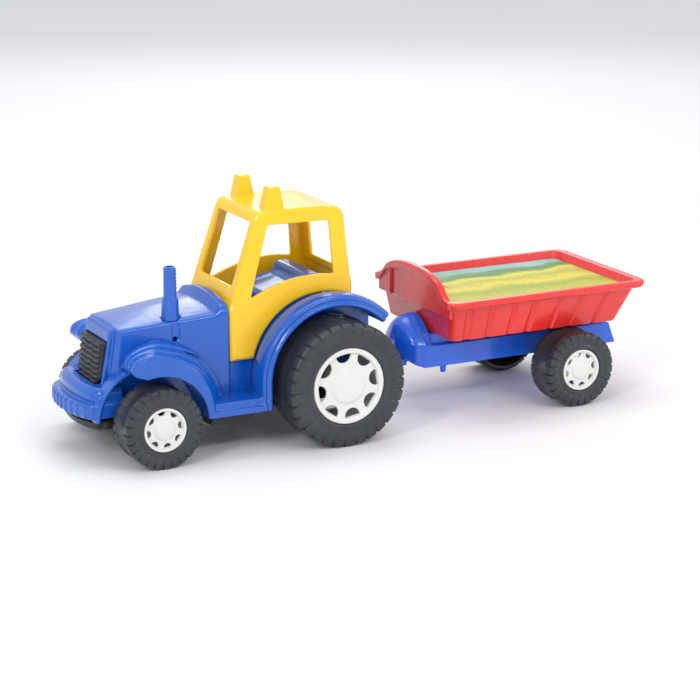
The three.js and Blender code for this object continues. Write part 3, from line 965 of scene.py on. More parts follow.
@dataclass
class HoodSection:
    """One cross-section of the hood: flat sides, round shoulders and a crowned top.

    Attributes:
        half: Half its width.
        corner: The radius of its shoulders.
        edge_z: The level of its shoulders.
        crown_z: The level of its middle.
    """

    half: float
    corner: float
    edge_z: float
    crown_z: float

    def outline(self, bottom: float, shrink: float = 0.0) -> Outline:
        """Draw the section in Y and Z.

        Args:
            bottom: The level that it is cut off at.
            shrink: How far its sides and top are moved in.

        Returns:
            The outline, always with as many points.
        """
        half, edge, crown = self.half - shrink, self.edge_z - shrink, self.crown_z - shrink
        flat = half - self.corner
        right = [(half, bottom), (half, (bottom + edge) / 2)]
        right += arc((flat, edge - self.corner), self.corner, 0, 78, 6)
        start_y, start_z = right[-1]
        for k in range(1, 9):
            y = start_y * (1 - k / 8)
            right.append((y, start_z + (crown - start_z) * (1 - (y / start_y) ** 2)))
        return [*right, *[(-y, z) for y, z in reversed(right[:-1])]]


@dataclass
class TractorBody:
    """The blue shell: hood, cowl, nose, bumper and the deck under the cab."""

    nose: HoodSection = field(default_factory=lambda: HoodSection(29, 3.2, 95.6, 97))
    rear: HoodSection = field(default_factory=lambda: HoodSection(38, 3.6, 102.2, 105.5))
    cowl: HoodSection = field(default_factory=lambda: HoodSection(39.6, 8.5, 108.5, 113))
    front_x: float = 165.0
    hood_rear_x: float = 86.5
    cowl_front_x: float = 82.5
    cowl_rear_x: float = 76.3
    bumps: int = 9
    voxel: float = 0.62

    def hood(self, bottom: float, shrink: float = 0.0) -> Solid:
        """Skin the hood from nose to cowl.

        Args:
            bottom: The level of its lower edge.
            shrink: How far its skin is moved in.

        Returns:
            The hood as a full solid.
        """
        sections = [
            (self.cowl.outline(bottom, shrink), self.cowl_rear_x + max(shrink, 0)),
            (self.cowl.outline(bottom, shrink), self.cowl_front_x),
            (self.rear.outline(bottom, shrink), self.hood_rear_x),
            (self.nose.outline(bottom, shrink), self.front_x - (9 if shrink > 0 else 0)),
        ]
        return Solid.stack(Axis.X, sections)

    def nose_block(self) -> Solid:
        """Make the proud block over the grille and the chin under it.

        Returns:
            The solid.
        """
        brow = [(156, 55), (156, 95.9), (161.4, 95.9), (163.2, 95.4), (164.3, 94), (171.8, 56)]
        easy = inset(brow, 0.9)
        layers = [(easy, -23.5), (brow, -22.4), (brow, 22.4), (easy, 23.5)]
        block = Solid.stack(Axis.Y, layers)
        chin = Solid.prism(Axis.Y, [(158, SKIRT_Z), (158, 58), (172, 54), (172, SKIRT_Z)], (-30, 30))
        return block.joined(chin)

    def bow(self, reach: float, end_x: float, half: float, back_x: float, steps: int = 32) -> Outline:
        """Draw the bumper's bowed front edge from above.

        Args:
            reach: X of its middle.
            end_x: X of its ends.
            half: Half its width.
            back_x: Where it ends behind.
            steps: Chords along the bow.

        Returns:
            The outline.
        """
        bow = []
        for i in range(steps + 1):
            side = -math.cos(math.pi * i / steps)
            bow.append((end_x + (reach - end_x) * math.sqrt(1 - (side * 0.93) ** 2), side * half))
        return [*bow, (back_x, half), (back_x, -half)]

    def bumper(self) -> Solid:
        """Make the bumper: a lip with upright round ribs, and the full apron over it.

        Returns:
            The solid.
        """
        lip = Solid.stack(
            Axis.Z,
            [
                (self.bow(192.6, 179.2, 37.6, 160), 33.6),
                (self.bow(194.4, 180, 38.4, 160), 35.4),
                (self.bow(194.8, 180, 38.6, 160), 43.4),
                (self.bow(193.6, 179.4, 38.0, 160), 45),
            ],
        )
        apron = Solid.stack(
            Axis.Z,
            [
                (self.bow(187.6, 177, 36.6, 160), 44.5),
                (self.bow(188.2, 177.6, 37.0, 160), 48),
                (self.bow(187.4, 177.2, 36.4, 160), 52),
                (self.bow(184.8, 176, 34.6, 160), 55),
                (self.bow(182.6, 175, 32.8, 160), 56),
            ],
        )
        ribs = []
        for i in range(self.bumps):
            side = -0.86 + 1.72 * i / (self.bumps - 1)
            x = 180 + 14.8 * math.sqrt(1 - (side * 0.93) ** 2)
            shape = arc((x - 2.6, side * 36.6), 3.9, 0, 360, 24)[:-1]
            inner = arc((x - 2.6, side * 36.6), 2.9, 0, 360, 24)[:-1]
            ribs.append(Solid.stack(Axis.Z, [(inner, 34.2), (shape, 35.8), (shape, 42.8), (inner, 44.6)]))
        return lip.joined(apron, *ribs)

    def deck(self) -> Solid:
        """Make the block that carries the cab and seat.

        Returns:
            The solid.
        """
        outline = [
            (BODY_REAR_X, SKIRT_Z), (BODY_REAR_X, 92), (-36, DECK_Z), (60, DECK_Z),
            (66, 88), (80, 88), (80, SKIRT_Z),
        ]
        return Solid.prism(Axis.Y, outline, (-BODY_HALF, BODY_HALF))

    def arch_rim(self) -> Solid:
        """Make one front wheel arch's rounded rim, on the side of the hood.

        Returns:
            The solid.
        """
        profile = rounded([(37.5, 28), (41, 28), (41, 40.2), (37.5, 41)], 1.2)
        return Solid.swept(profile, (FRONT_AXLE_X, SMALL_RADIUS), (2, 120), 60)

    def hollow(self) -> Solid:
        """Make the space inside the shell.

        Returns:
            The solid.
        """
        low = SKIRT_Z - 5
        inner = BODY_HALF - WALL
        outline = [
            (BODY_REAR_X + WALL, low), (BODY_REAR_X + WALL, 90), (-34, DECK_Z - WALL),
            (58, DECK_Z - WALL), (63.5, 85), (84, 85), (84, low),
        ]
        return Solid.prism(Axis.Y, outline, (-inner, inner)).joined(
            self.hood(low, WALL),
            Solid.prism(Axis.Z, self.bow(190.6, 176, 33, 150), (low, 42)),
            Solid.box((150, 168), (-27, 27), (low, 49.5)),
        )

    def hood_marks(self) -> list[Solid]:
        """Make the seam under the exhaust and the small hole beside it.

        Returns:
            What is cut away for them.
        """
        channel = Solid.box((113.9, 119.9), (33.5, 40), (84, 97.5))
        hole = Solid.rod(1.9, (28, 40), (117.2, 85.4))
        return [channel, hole]

    def front_rake(self) -> Solid:
        """Make what is cut off the hood's front, so that it leans back towards its top.

        Returns:
            The solid that is cut away.
        """
        outline = [(160.4, 110), (160.4, 94), (166, 58), (175, 58), (175, 110)]
        rake = Solid.prism(Axis.Y, outline, (-50, 50))
        bevel = Solid.stack(
            Axis.Z,
            [
                ([(168.2, 24), (161.2, 31.2), (176, 36), (176, 24)], 58),
                ([(163.0, 24), (156.0, 31.2), (176, 36), (176, 24)], 96),
            ],
        )
        return rake.joined(bevel, bevel.mirrored())

    def screw_bosses(self) -> Solid:
        """Make the four posts that the chassis screws bite in.

        Returns:
            The solid.
        """
        posts = [
            Solid.post(3.6, 3.6, (SKIRT_Z + 4, DECK_Z + (1.4 if x > 80 else -1)), (x, y), 24)
            for x, y in SCREW_PLACES
        ]
        return posts[0].joined(*posts[1:])

    def sockets(self) -> list[Solid]:
        """Make what is cut for the stack, the grille, the screws and the axles.

        Returns:
            The solids that are cut away.
        """
        holes = [Solid.post(1.6, 1.6, (SKIRT_Z, SKIRT_Z + 22), (x, y), 20) for x, y in SCREW_PLACES]
        return [
            Solid.post(4.1, 4.1, (76.6, 102.6), STACK_AT),
            Solid.post(7.1, 7.1, (98.6, 112), STACK_AT),
            Solid.box((161, 176), (-21.6, 21.6), (52.6, 86)),
            *holes,
            *axle_slots(),
        ]

    def build(self, shop: Workshop) -> None:
        """Mould the shell and deliver it.

        Args:
            shop: Where the piece is put in the frame.
        """
        rim = self.arch_rim()
        hood = self.hood(SKIRT_Z).without(self.front_rake())
        outside = hood.joined(self.nose_block(), self.bumper(), self.deck(), rim, rim.mirrored())
        shell = outside.without(self.hollow()).joined(self.screw_bosses())
        shell = shell.without(*self.sockets(), *self.hood_marks())
        piece = Piece("tractor_body", "tractor", "blue_plastic", ("body_shell",))
        shop.deliver(shell.moulded(self.voxel, 4), piece, BODY_BLUE)


@dataclass
class SideFenders:
    """One side's front guard, running board and rear fender, moulded together."""

    crest: Outline = field(
        default_factory=lambda: [
            (164, 74), (162.5, 79.5), (156, 83), (146, 83.5), (133, 79.5),
            (119, 74), (109, 66), (101.5, 51), (99, 41),
        ]
    )
    root: Outline = field(
        default_factory=lambda: [
            (158, 72), (155, 78), (149, 82), (140, 86), (131, 88),
            (113, 83), (98, 74), (84, 58), (78, 41),
        ]
    )
    opening: float = 37.5
    guard_out_y: float = 65.0
    voxel: float = 0.58

    def guard_section(self, share: float, swell: float) -> Outline:
        """Draw the front guard's side outline part of the way from its root to its crest.

        Args:
            share: 0 at the hood, 1 at the outer edge.
            swell: How far the outline stands out from the wheel there.

        Returns:
            The outline in X and Z.
        """
        root, crest = curved(self.root, 5), curved(self.crest, 5)
        centre = Vector((FRONT_AXLE_X, SMALL_RADIUS))
        top: Outline = []
        for a, b in zip(root, crest):
            point = Vector(a).lerp(Vector(b), share)
            point += (point - centre).normalized() * swell
            top.append((point.x, point.y))
        below = arc((FRONT_AXLE_X, SMALL_RADIUS), self.opening, 178, 76, 30)
        return [*top, (100.5, SKIRT_Z), *below, (160, 69.3)]

    def guard(self) -> Solid:
        """Make the front guard with its two raised ribs and rounded outer edge.

        Returns:
            The solid.
        """
        steps = [
            (0.0, 0), (0.26, 0), (0.30, 1.1), (0.38, 1.1), (0.42, 0), (0.54, 0),
            (0.58, 0.9), (0.66, 0.9), (0.70, 0), (0.90, 0), (0.96, -0.5), (1.0, -2.0),
        ]
        reach = self.guard_out_y - 30
        return Solid.stack(Axis.Y, [(self.guard_section(s, w), 30 + reach * s) for s, w in steps])

    def guard_hollow(self) -> Solid:
        """Make the space under the front guard.

        Returns:
            The solid.
        """
        below = arc((FRONT_AXLE_X, SMALL_RADIUS), self.opening + 2.6, 178, 84, 24)
        low = [(99, SKIRT_Z - 5), (FRONT_AXLE_X - 40, SKIRT_Z - 5), *below]
        sections = []
        for line, y in ((self.root, 41.5), (self.crest, self.guard_out_y - WALL)):
            drawn = [(120 + (x - 120) * 0.92, 36 + (z - 36) * 0.93) for x, z in curved(line, 5)]
            sections.append(([*drawn, *low], y))
        return Solid.stack(Axis.Y, sections)

    def board(self) -> Solid:
        """Make the running board: a ledge with a wider skirt along its foot.

        Returns:
            The solid.
        """
        ledge = Solid.box((58, 103), (BODY_HALF + GAP, 63.4), (SKIRT_Z, 41))
        skirt = Solid.box((58, 103), (BODY_HALF + GAP, 65.6), (SKIRT_Z, 35.6))
        under = Solid.box((64, 97), (39, 61.5), (SKIRT_Z - 3, 38.2))
        return ledge.joined(skirt).without(under)

    def fender(self) -> Solid:
        """Make the rear fender: a band round the wheel with two beads on its face.

        Returns:
            The solid.
        """
        start = BODY_HALF + GAP
        profile = [
            (53, start), (58, start), (58, 42.2), (59.2, 44.4), (60.8, 46.8), (61.9, 49.6),
            (62.4, 53), (62.4, 57.5), (61.9, 61), (61.1, 63.2), (60.2, 64.5), (59.1, 64.9),
            (58.2, 64.4), (57.7, 63.7), (57.2, 64.4), (56.4, 65.5), (55.3, 66), (54.2, 65.7),
            (53.3, 64.6), (53, 63),
        ]
        band = Solid.swept(profile, FENDER_CENTRE, (-2, 136), 110)
        wheel_side = [(50, 45), (59.2, 45), (59.2, 61), (55.4, 63.2), (50, 63.2)]
        groove = Solid.swept(wheel_side, FENDER_CENTRE, (8, 133), 90)
        foot = Solid.prism(Axis.Z, profile, (SKIRT_Z, FENDER_CENTRE[1]))
        return band.without(groove).joined(foot)

    def room(self) -> list[Solid]:
        """Make what is cut away so that the moulding clears the shell and the axles.

        Returns:
            The solids that are cut away.
        """
        body = TractorBody()
        deck = Solid.box((BODY_REAR_X - 5, 80 + GAP), (0, BODY_HALF + GAP), (SKIRT_Z - 5, DECK_Z))
        rim_room = [(37.2, 28), (41.3, 28), (41.3, 41.3), (37.2, 41.3)]
        rim = Solid.swept(rim_room, (FRONT_AXLE_X, SMALL_RADIUS), (1, 121), 60)
        return [body.hood(SKIRT_Z - 5, -0.1), deck, rim, *axle_slots()]

    def build(self, shop: Workshop) -> None:
        """Mould the left side, mirror it and deliver both.

        Args:
            shop: Where the pieces are put in the frame.
        """
        guard = self.guard().without(self.guard_hollow())
        rough = guard.joined(self.board(), self.fender()).without(*self.room())
        left = rough.moulded(self.voxel, 4)
        for side, shape in ((Side.LEFT, left), (Side.RIGHT, left.mirrored())):
            node = f"fenders_{side.label}"
            piece = Piece(f"fender_moulding_{side.label}", "tractor", "blue_plastic", (node,))
            shop.deliver(shape, piece, BODY_BLUE)


@dataclass
class Grille:
    """The black radiator insert with its waved bars."""

    top_x: float = 168.6
    rake: float = 0.13
    half: float = 21.2
    bottom: float = 53.0
    top: float = 85.6
    bars: int = 8

    def face(self, z: float) -> float:
        """Give the leaning face's X at a level."""
        return self.top_x + (self.top - z) * self.rake

    def bar(self, z: float) -> Solid:
        """Make one bar that waves up and down across the face.

        Args:
            z: The bar's middle level.

        Returns:
            The bar.
        """
        half = self.half - (4.5 if z < self.bottom + 4 else 1.2)
        sections = []
        for i in range(41):
            y = -half + 2 * half * i / 40
            level = z + 0.5 * math.sin(y * 2 * math.pi / 15)
            sections.append((arc((self.face(z) + 0.2, level), 1.75, 0, 360, 12)[:-1], y))
        return Solid.stack(Axis.Y, sections)

    def build(self, shop: Workshop) -> None:
        """Mould the insert and deliver it.

        Args:
            shop: Where the piece is put in the frame.
        """
        corners = [
            (self.half, self.top), (-self.half, self.top), (-self.half, 59), (-15.5, self.bottom),
            (15.5, self.bottom), (self.half, 59),
        ]
        lean = [(self.face(100), 100), (self.face(45), 45), (190, 45), (190, 100)]
        block = Solid.prism(Axis.X, rounded(corners, 2.2), (161.4, 176))
        block = block.without(Solid.prism(Axis.Y, lean, (-30, 30)))
        pitch = (self.top - self.bottom - 4.4) / (self.bars - 1)
        bars = [self.bar(self.bottom + 2.2 + pitch * i) for i in range(self.bars)]
        piece = Piece("grille", "tractor", "black_plastic", ("grille_insert",))
        shop.deliver(block.joined(*bars).moulded(0.36, 3), piece, TRIM_BLACK)


@dataclass
class ExhaustStack:
    """The two-step exhaust pipe that plugs in the hood, with small teeth down its back."""

    seat_z: float = 98.9
    step_z: float = 115.5
    top_z: float = 138.5
    teeth: int = 7

    def build(self, shop: Workshop) -> None:
        """Mould the pipe and deliver it.

        Args:
            shop: Where the piece is put in the frame.
        """
        x, y = STACK_AT
        peg = Solid.post(3.8, 3.8, (80.6, self.seat_z + 1), STACK_AT)
        lower = Solid.post(6.6, 6.1, (self.seat_z, self.step_z - 1), STACK_AT, 64)
        shoulder = Solid.post(6.1, 5.0, (self.step_z - 1.1, self.step_z), STACK_AT, 64)
        upper = Solid.post(4.9, 4.5, (self.step_z - 0.2, self.top_z), STACK_AT, 64)
        teeth = []
        for i in range(self.teeth):
            z = self.step_z + 4 + i * 2.6
            teeth.append(Solid.post(4.6, 3.6, (z, z + 1.7), (x - 0.9, y), 32))
        pipe = peg.joined(lower, shoulder, upper, *teeth)
        pipe = pipe.without(Solid.post(2.9, 3.1, (126, self.top_z + 2), STACK_AT))
        piece = Piece("exhaust_pipe", "tractor", "blue_plastic", ("exhaust_stack",))
        shop.deliver(pipe.moulded(0.34, 3), piece, BODY_BLUE)


@dataclass
class Cab:
    """The yellow cab: posts, roof with two lamps, and open windows."""

    base_z: float = 64.8
    roof_z: float = 174.5
    wall: float = 2.8
    arch_radius: float = 58.7
    chamfer: float = 1.9
    voxel: float = 0.56

    def half_width(self, z: float) -> float:
        """Give half the cab's width at a level: it narrows towards the roof."""
        return 39.6 + (107.2 - z) * 0.0515

    def slab(self, outline: Outline, shrink: float, chamfer: float) -> Solid:
        """Extend a side outline across the cab, whose sides lean in.

        Args:
            outline: The side outline in X and Z.
            shrink: How far the sides stay inside the cab's own.
            chamfer: How much the outline's edges are eased at the sides.

        Returns:
            The solid.
        """
        eased = inset(outline, chamfer)
        rings = ((eased, -1, 0.0), (outline, -1, chamfer), (outline, 1, chamfer), (eased, 1, 0.0))
        count = len(outline)
        points = []
        for line, sign, depth in rings:
            points += [(x, sign * (self.half_width(z) - shrink - depth), z) for x, z in line]
        last = (len(rings) - 1) * count
        faces = [tuple(reversed(range(count))), tuple(range(last, last + count))]
        for ring in range(len(rings) - 1):
            faces += ring_faces(ring * count, (ring + 1) * count, count)
        return Solid.skinned(points, faces)

    def shell(self) -> Solid:
        """Make the cab's walls and roof.

        Returns:
            The solid.
        """
        arch = arc(FENDER_CENTRE, self.arch_radius, 112, 14.6, 48)
        roof = [
            (76, self.base_z), (76, 103.5), (73.6, 108), (53.4, 169.4), (51.6, 172.4), (48, 174),
            (32, 174.4), (16, self.roof_z), (0, 174), (-11, 173.2), (-15.6, 172), (-18.6, 169.6),
            (-20.2, 166), (-24.2, 119.4), (-25.4, 117.4), (-25.4, 104.5),
        ]
        inner = [
            (73.2, self.base_z - 2), (73.2, 103.5), (70.6, 107.5), (50.4, 168.2), (47.5, 171.2),
            (16, 171.7), (-12, 170.2), (-16.5, 167.5), (-17.8, 165), (-21.6, 119), (-22.6, 117),
            (-22.6, self.base_z - 2),
        ]
        outside = self.slab([*roof, *arch], 0, self.chamfer)
        return outside.without(self.slab(inner, self.wall, 0.01))

    def windows(self) -> list[Solid]:
        """Make what is cut for the windows and the driver's legs.

        Returns:
            The solids that are cut away.
        """
        side = [
            (43.2, 163.8), (-7.2, 163), (-10, 122), (0, 123.2), (10, 123.4), (18, 122.9), (26, 121.6),
            (34.5, 119.5), (43, 116.8), (51, 113.8), (58.8, 110.2),
        ]
        screen = [(90, 118.5), (60, 118.5), (42, 166), (90, 166)]
        rear = [(-12, 124), (-12, 163), (-40, 163), (-40, 124)]
        half = BODY_HALF + 0.5
        return [
            Solid.prism(Axis.Y, side, (-60, 60)),
            Solid.prism(Axis.Y, screen, (-29, 29)),
            Solid.prism(Axis.Y, rear, (-25, 25)),
            Solid.box((50, 80), (-half, half), (60, DECK_Z + 2)),
        ]

    def lamp(self) -> Solid:
        """Make one roof lamp with a framed lens face.

        Returns:
            The solid.
        """
        base = rounded([(43.4, 20), (43.4, 33), (27, 33), (27, 20)], 1.6)
        top = rounded([(39.8, 21.5), (39.8, 31.5), (30, 31.5), (30, 21.5)], 1.6)
        body = Solid.stack(Axis.Z, [(base, 172.5), (top, 189.8), (inset(top, 0.9), 190.8)])
        lens = Solid.stack(
            Axis.Z,
            [
                ([(43.0, 21.8), (46, 21.8), (46, 31.2), (43.0, 31.2)], 176.5),
                ([(39.6, 23.2), (46, 23.2), (46, 29.8), (39.6, 29.8)], 188.4),
            ],
        )
        return body.without(lens)

    def build(self, shop: Workshop) -> None:
        """Mould the cab and deliver it.

        Args:
            shop: Where the piece is put in the frame.
        """
        lamp = self.lamp()
        shape = self.shell().without(*self.windows()).joined(lamp, lamp.mirrored())
        piece = Piece("cab_frame", "tractor", "yellow_plastic", ("cab",))
        shop.deliver(shape.moulded(self.voxel, 4), piece, CAB_YELLOW)


@dataclass
class Seat:
    """The driver's seat: a broad cushion block with a low backrest."""

    half: float = 27.5

    def build(self, shop: Workshop) -> None:
        """Mould the seat and deliver it.

        Args:
            shop: Where the piece is put in the frame.
        """
        outline = [
            (-7, DECK_Z + GAP), (39, DECK_Z + GAP), (40, 105), (35, 109.5), (13, 113.5), (10, 115),
            (8.5, 120.3), (6, 121.5), (-3, 121), (-7, 118),
        ]
        line = rounded(outline, 1.6)
        small = inset(line, 1.0)
        full = self.half - 1.2
        sections = [(small, -self.half), (line, -full), (line, full), (small, self.half)]
        block = Solid.stack(Axis.Y, sections)
        dip = [(13, 120), (13, 112.7), (36, 108.1), (46, 106), (46, 120)]
        tight = inset(dip, 0.9)
        scoop = Solid.stack(Axis.Y, [(tight, -24), (dip, -16), (dip, 16), (tight, 24)])
        piece = Piece("driver_seat", "tractor", "blue_plastic", ("seat",))
        shop.deliver(block.without(scoop).moulded(0.6, 4), piece, BODY_BLUE)


@dataclass
class Underside:
    """The black plate that closes the tractor below, its screws and the hitch pin."""

    bottom: float = 24.0
    top: float = 30.7

    def plate(self) -> Solid:
        """Make the plate with its bearings, tongue and stiffening ribs.

        Returns:
            The solid.
        """
        half = [(174, 34), (104, 34), (101, 60), (66, 60), (60, 34), (BODY_REAR_X + 0.5, 34)]
        plan = rounded([*half, *[(x, -y) for x, y in reversed(half)]], 2.5)
        bow = TractorBody().bow
        easy = inset(plan, 1.0)
        slab = Solid.stack(Axis.Z, [(easy, self.bottom), (plan, self.bottom + 1), (plan, self.top)])
        nose_ends = [(bow(186, 172, 31, 150), self.bottom), (bow(190, 175, 34, 150), self.top)]
        nose = Solid.stack(Axis.Z, nose_ends)
        root = BODY_REAR_X + 2
        tongue = [(root, 9), (HITCH_X, 8), *arc((HITCH_X, 0), 8, 80, 280, 16), (root, -9)]
        rear_bearing = Solid.box((-7, 7), (20, 30), (self.bottom + 2, 54))
        relief = [
            Solid.box(x, (-y, y), (self.bottom - 1, self.bottom + 0.9))
            for x, y in (((-34, 14), 14), ((34, 90), 14), ((110, 132), 24), ((152, 170), 24))
        ]
        body = slab.joined(
            nose,
            Solid.box((136, 148), (-22, 22), (self.top - 1, 37)),
            rear_bearing,
            rear_bearing.mirrored(),
            Solid.prism(Axis.Z, tongue, (26.5, self.top)),
        )
        ways = []
        for at in SCREW_PLACES:
            ways.append(Solid.post(3.9, 3.9, (self.bottom - 1, self.bottom + 2.9), at))
            ways.append(Solid.post(1.7, 1.7, (self.bottom, self.top + 1), at, 20))
        bores = [
            Solid.rod(BEARING_RADIUS, (-70, 70), (0, BIG_RADIUS)),
            Solid.rod(BEARING_RADIUS, (-70, 70), (FRONT_AXLE_X, SMALL_RADIUS)),
            Solid.post(2.6, 2.6, (20, 40), (HITCH_X, 0)),
        ]
        return body.without(*relief, *ways, *bores)

    def screw(self, at: Point) -> Solid:
        """Make one cross-headed screw.

        Args:
            at: Where it stands, in X and Y.

        Returns:
            The screw.
        """
        low = self.bottom + GAP
        x, y = at
        head = Solid.post(3.1, 3.5, (low, low + 0.9), at).joined(
            Solid.post(3.5, 3.5, (low + 0.8, low + 2.2), at),
            Solid.post(1.35, 1.2, (low + 2, low + 18), at, 24),
        )
        cross = [
            Solid.box((x - 2, x + 2), (y - 0.45, y + 0.45), (low - 1, low + 1.1)),
            Solid.box((x - 0.45, x + 0.45), (y - 2, y + 2), (low - 1, low + 1.1)),
        ]
        return head.without(*cross)

    def build(self, shop: Workshop) -> None:
        """Mould the plate, turn the screws and pin, and deliver them.

        Args:
            shop: Where the pieces are put in the frame.
        """
        piece = Piece("belly_plate", "tractor", "black_plastic", ("chassis_plate",))
        shop.deliver(self.plate().moulded(0.7, 3), piece, TRIM_BLACK)
        for number, at in enumerate(SCREW_PLACES, 1):
            named = Piece(f"belly_screw_{number}", "tractor", "steel", (f"chassis_screw_{number}",))
            shop.deliver(self.screw(at), named, STEEL, sharp=CRISP_EDGE)
        shank = Solid.post(2.2, 2.2, (26.8, 39.2), (HITCH_X, 0))
        dome = Solid.post(4.6, 4.4, (38.6, 40.2), (HITCH_X, 0)).joined(
            Solid.post(4.4, 2.6, (40.1, 41.9), (HITCH_X, 0))
        )
        pin = Piece("hitch_pin_cap", "tractor", "black_plastic", ("hitch_pin",))
        shop.deliver(shank.joined(dome).moulded(0.22, 3), pin, TRIM_BLACK)


# ---- wheels -----------------------------------------------------------------------------


@dataclass
class Wheel:
    """A hub and lugged tyre of one size.

    Attributes:
        radius: The tyre's radius, also the axle's height.
        hub: The hub's radius.
        inner: Y of the inboard face.
        outer: Y of the outboard face.
        lugs: How many lugs go round.
        slot: The radius of the hub's half-moon holes.
        slot_at: How far the holes' straight sides are from the centre.
        voxel: The size of the hub's faces.
    """

    radius: float
    hub: float
    inner: float
    outer: float
    lugs: int
    slot: float
    slot_at: float
    voxel: float

    def tyre_profile(self) -> list[tuple[float, float, float, float]]:
        """List the tyre's section with how deep a notch cuts each point.

        Returns:
            Radius, Y, the notch's depth inwards and its depth along Y.
        """
        bore, rim, out, back = self.hub + GAP, self.radius, self.outer, self.inner
        tall = rim - bore
        shoulder, lug = tall * 0.16, tall * 0.075
        skin = max(2.2, tall * 0.14)
        return [
            (bore, out - 1.8, 0, 0),
            (bore + 0.3, out - 0.7, 0, 0),
            (bore + 0.9, out - 0.15, 0, 0),
            (bore + tall * 0.10, out, 0, 0),
            (bore + tall * 0.22, out - 0.1, 0, 0),
            (bore + tall * 0.27, out - 0.55, 0, 0),
            (bore + tall * 0.33, out - 0.6, 0, 0),
            (bore + tall * 0.38, out - 0.15, 0, 0.35),
            (bore + tall * 0.60, out - 0.1, 0, 0.6),
            (bore + tall * 0.80, out - 0.25, 0, 0.9),
            (rim - shoulder * 0.75, out - 0.8, lug * 0.6, 1.0),
            (rim - shoulder * 0.35, out - shoulder * 0.45, lug, 0.8),
            (rim - shoulder * 0.08, out - shoulder * 0.85, lug, 0.3),
            (rim, out - shoulder * 1.25, lug, 0),
            (rim, out - shoulder * 3.2, lug * 0.9, 0),
            (rim - 0.2, out - shoulder * 3.9, lug * 0.3, 0),
            (rim - 0.9, out - shoulder * 4.3, 0, 0),
            (rim - 0.9, back + shoulder * 3.6, 0, 0),
            (rim - 0.3, back + shoulder * 3.2, lug * 0.3, 0),
            (rim, back + shoulder * 2.6, lug * 0.9, 0),
            (rim, back + shoulder * 1.25, lug, 0),
            (rim - shoulder * 0.4, back + shoulder * 0.4, lug, -0.4),
            (rim - shoulder, back + 0.1, lug * 0.4, -0.4),
            (rim - shoulder - skin * 0.5, back, 0, 0),
            (rim - shoulder - skin, back + 0.6, 0, 0),
            (rim - shoulder - skin, out - 4.2, 0, 0),
            (bore + skin + 1.2, out - 4.2, 0, 0),
            (bore + skin, out - 5.4, 0, 0),
            (bore + skin, back + 5, 0, 0),
            (bore, back + 5, 0, 0),
        ]

    def tyre(self) -> Solid:
        """Turn the tyre, with lugs round both of its shoulders.

        Returns:
            The left tyre, centred on its axle at X 0.
        """
        profile = self.tyre_profile()
        per_lug = 12
        steps = self.lugs * per_lug
        middle = (self.inner + self.outer) / 2
        points, faces = [], []
        for k in range(steps):
            angle = 2 * math.pi * k / steps
            for radius, y, depth, along in profile:
                offset = 0.0 if y > middle else 0.5
                phase = (k / per_lug + offset) % 1.0
                notch = smooth_step(0.74, 0.82, phase) * (1 - smooth_step(0.90, 0.98, phase))
                r = radius - depth * notch
                z = self.radius + r * math.sin(angle)
                points.append((r * math.cos(angle), y - along * notch, z))
        count = len(profile)
        for k in range(steps):
            faces += ring_faces(k * count, ((k + 1) % steps) * count, count)
        return Solid.skinned(points, faces)

    def hub_shape(self) -> Solid:
        """Mould the hub: proud rim, low centre cap and eight half-moon holes.

        Returns:
            The left hub, centred on its axle at X 0.
        """
        out, back, rim = self.outer, self.inner + 4, self.hub
        face = out - 2.4
        cap = rim * 0.46
        profile = [
            (0, out - 0.35), (cap * 0.35, out - 0.4), (cap * 0.7, out - 0.65), (cap * 0.92, out - 1.0),
            (cap, out - 1.6), (cap * 1.04, face), (rim * 0.84, face - 0.1), (rim * 0.875, out - 0.75),
            (rim * 0.89, out - 0.45), (rim * 0.985, out - 0.45), (rim, out - 0.8), (rim, back),
            (rim - 1.9, back), (rim - 1.9, face - 2.3), (rim * 0.3, face - 2.3), (rim * 0.3, self.inner + 1),
            (AXLE_RADIUS + 0.1, self.inner + 1), (AXLE_RADIUS + 0.1, face - 3), (0, face - 3),
        ]
        disc = Solid.swept(profile, (0, 0), (0, 360), 120)
        chord = self.slot_at + self.slot * 0.35
        holes = []
        for i in range(8):
            moon = rounded(arc((chord, 0), self.slot, 90, 270, 16), self.slot * 0.12, 2)
            turn = Matrix.Rotation(math.radians(45 * i + 9), 4, "Y")
            holes.append(Solid.prism(Axis.Y, moon, (face - 3.4, out + 1)).changed(turn))
        return disc.without(*holes).moved(z=self.radius).moulded(self.voxel, 3)

    def axle(self) -> Solid:
        """Turn the axle rod, with eased ends."""
        return Solid.eased_rod(AXLE_RADIUS, self.outer - AXLE_SUNK - GAP, (0, self.radius))


@dataclass
class WheelPair:
    """Two wheels on one axle, on their own body."""

    place: str
    x: float
    wheel: Wheel

    def build(self, shop: Workshop, tyre: Solid, hub: Solid) -> None:
        """Deliver both wheels and their axle.

        Args:
            shop: Where the pieces are put in the frame.
            tyre: The left tyre of this size.
            hub: The left hub of this size.
        """
        body = f"{self.place}_wheels"
        for side in Side:
            for kind, shape, slot, finish, sharp in (
                ("tyre", tyre, "tyre_black", TYRE_BLACK, 42),
                ("hub", hub, "white_plastic", HUB_WHITE, 180),
            ):
                fitted = (shape if side is Side.LEFT else shape.mirrored()).moved(x=self.x)
                name = f"{self.place}_{kind}_{side.label}"
                piece = Piece(f"{name}_moulding", body, slot, (name,))
                shop.deliver(fitted, piece, finish, sharp)
        rod = Piece(f"{self.place}_axle_rod", body, "steel", (f"{self.place}_axle",))
        shop.deliver(self.wheel.axle().moved(x=self.x), rod, STEEL, sharp=CRISP_EDGE)


# ---- trailer ----------------------------------------------------------------------------


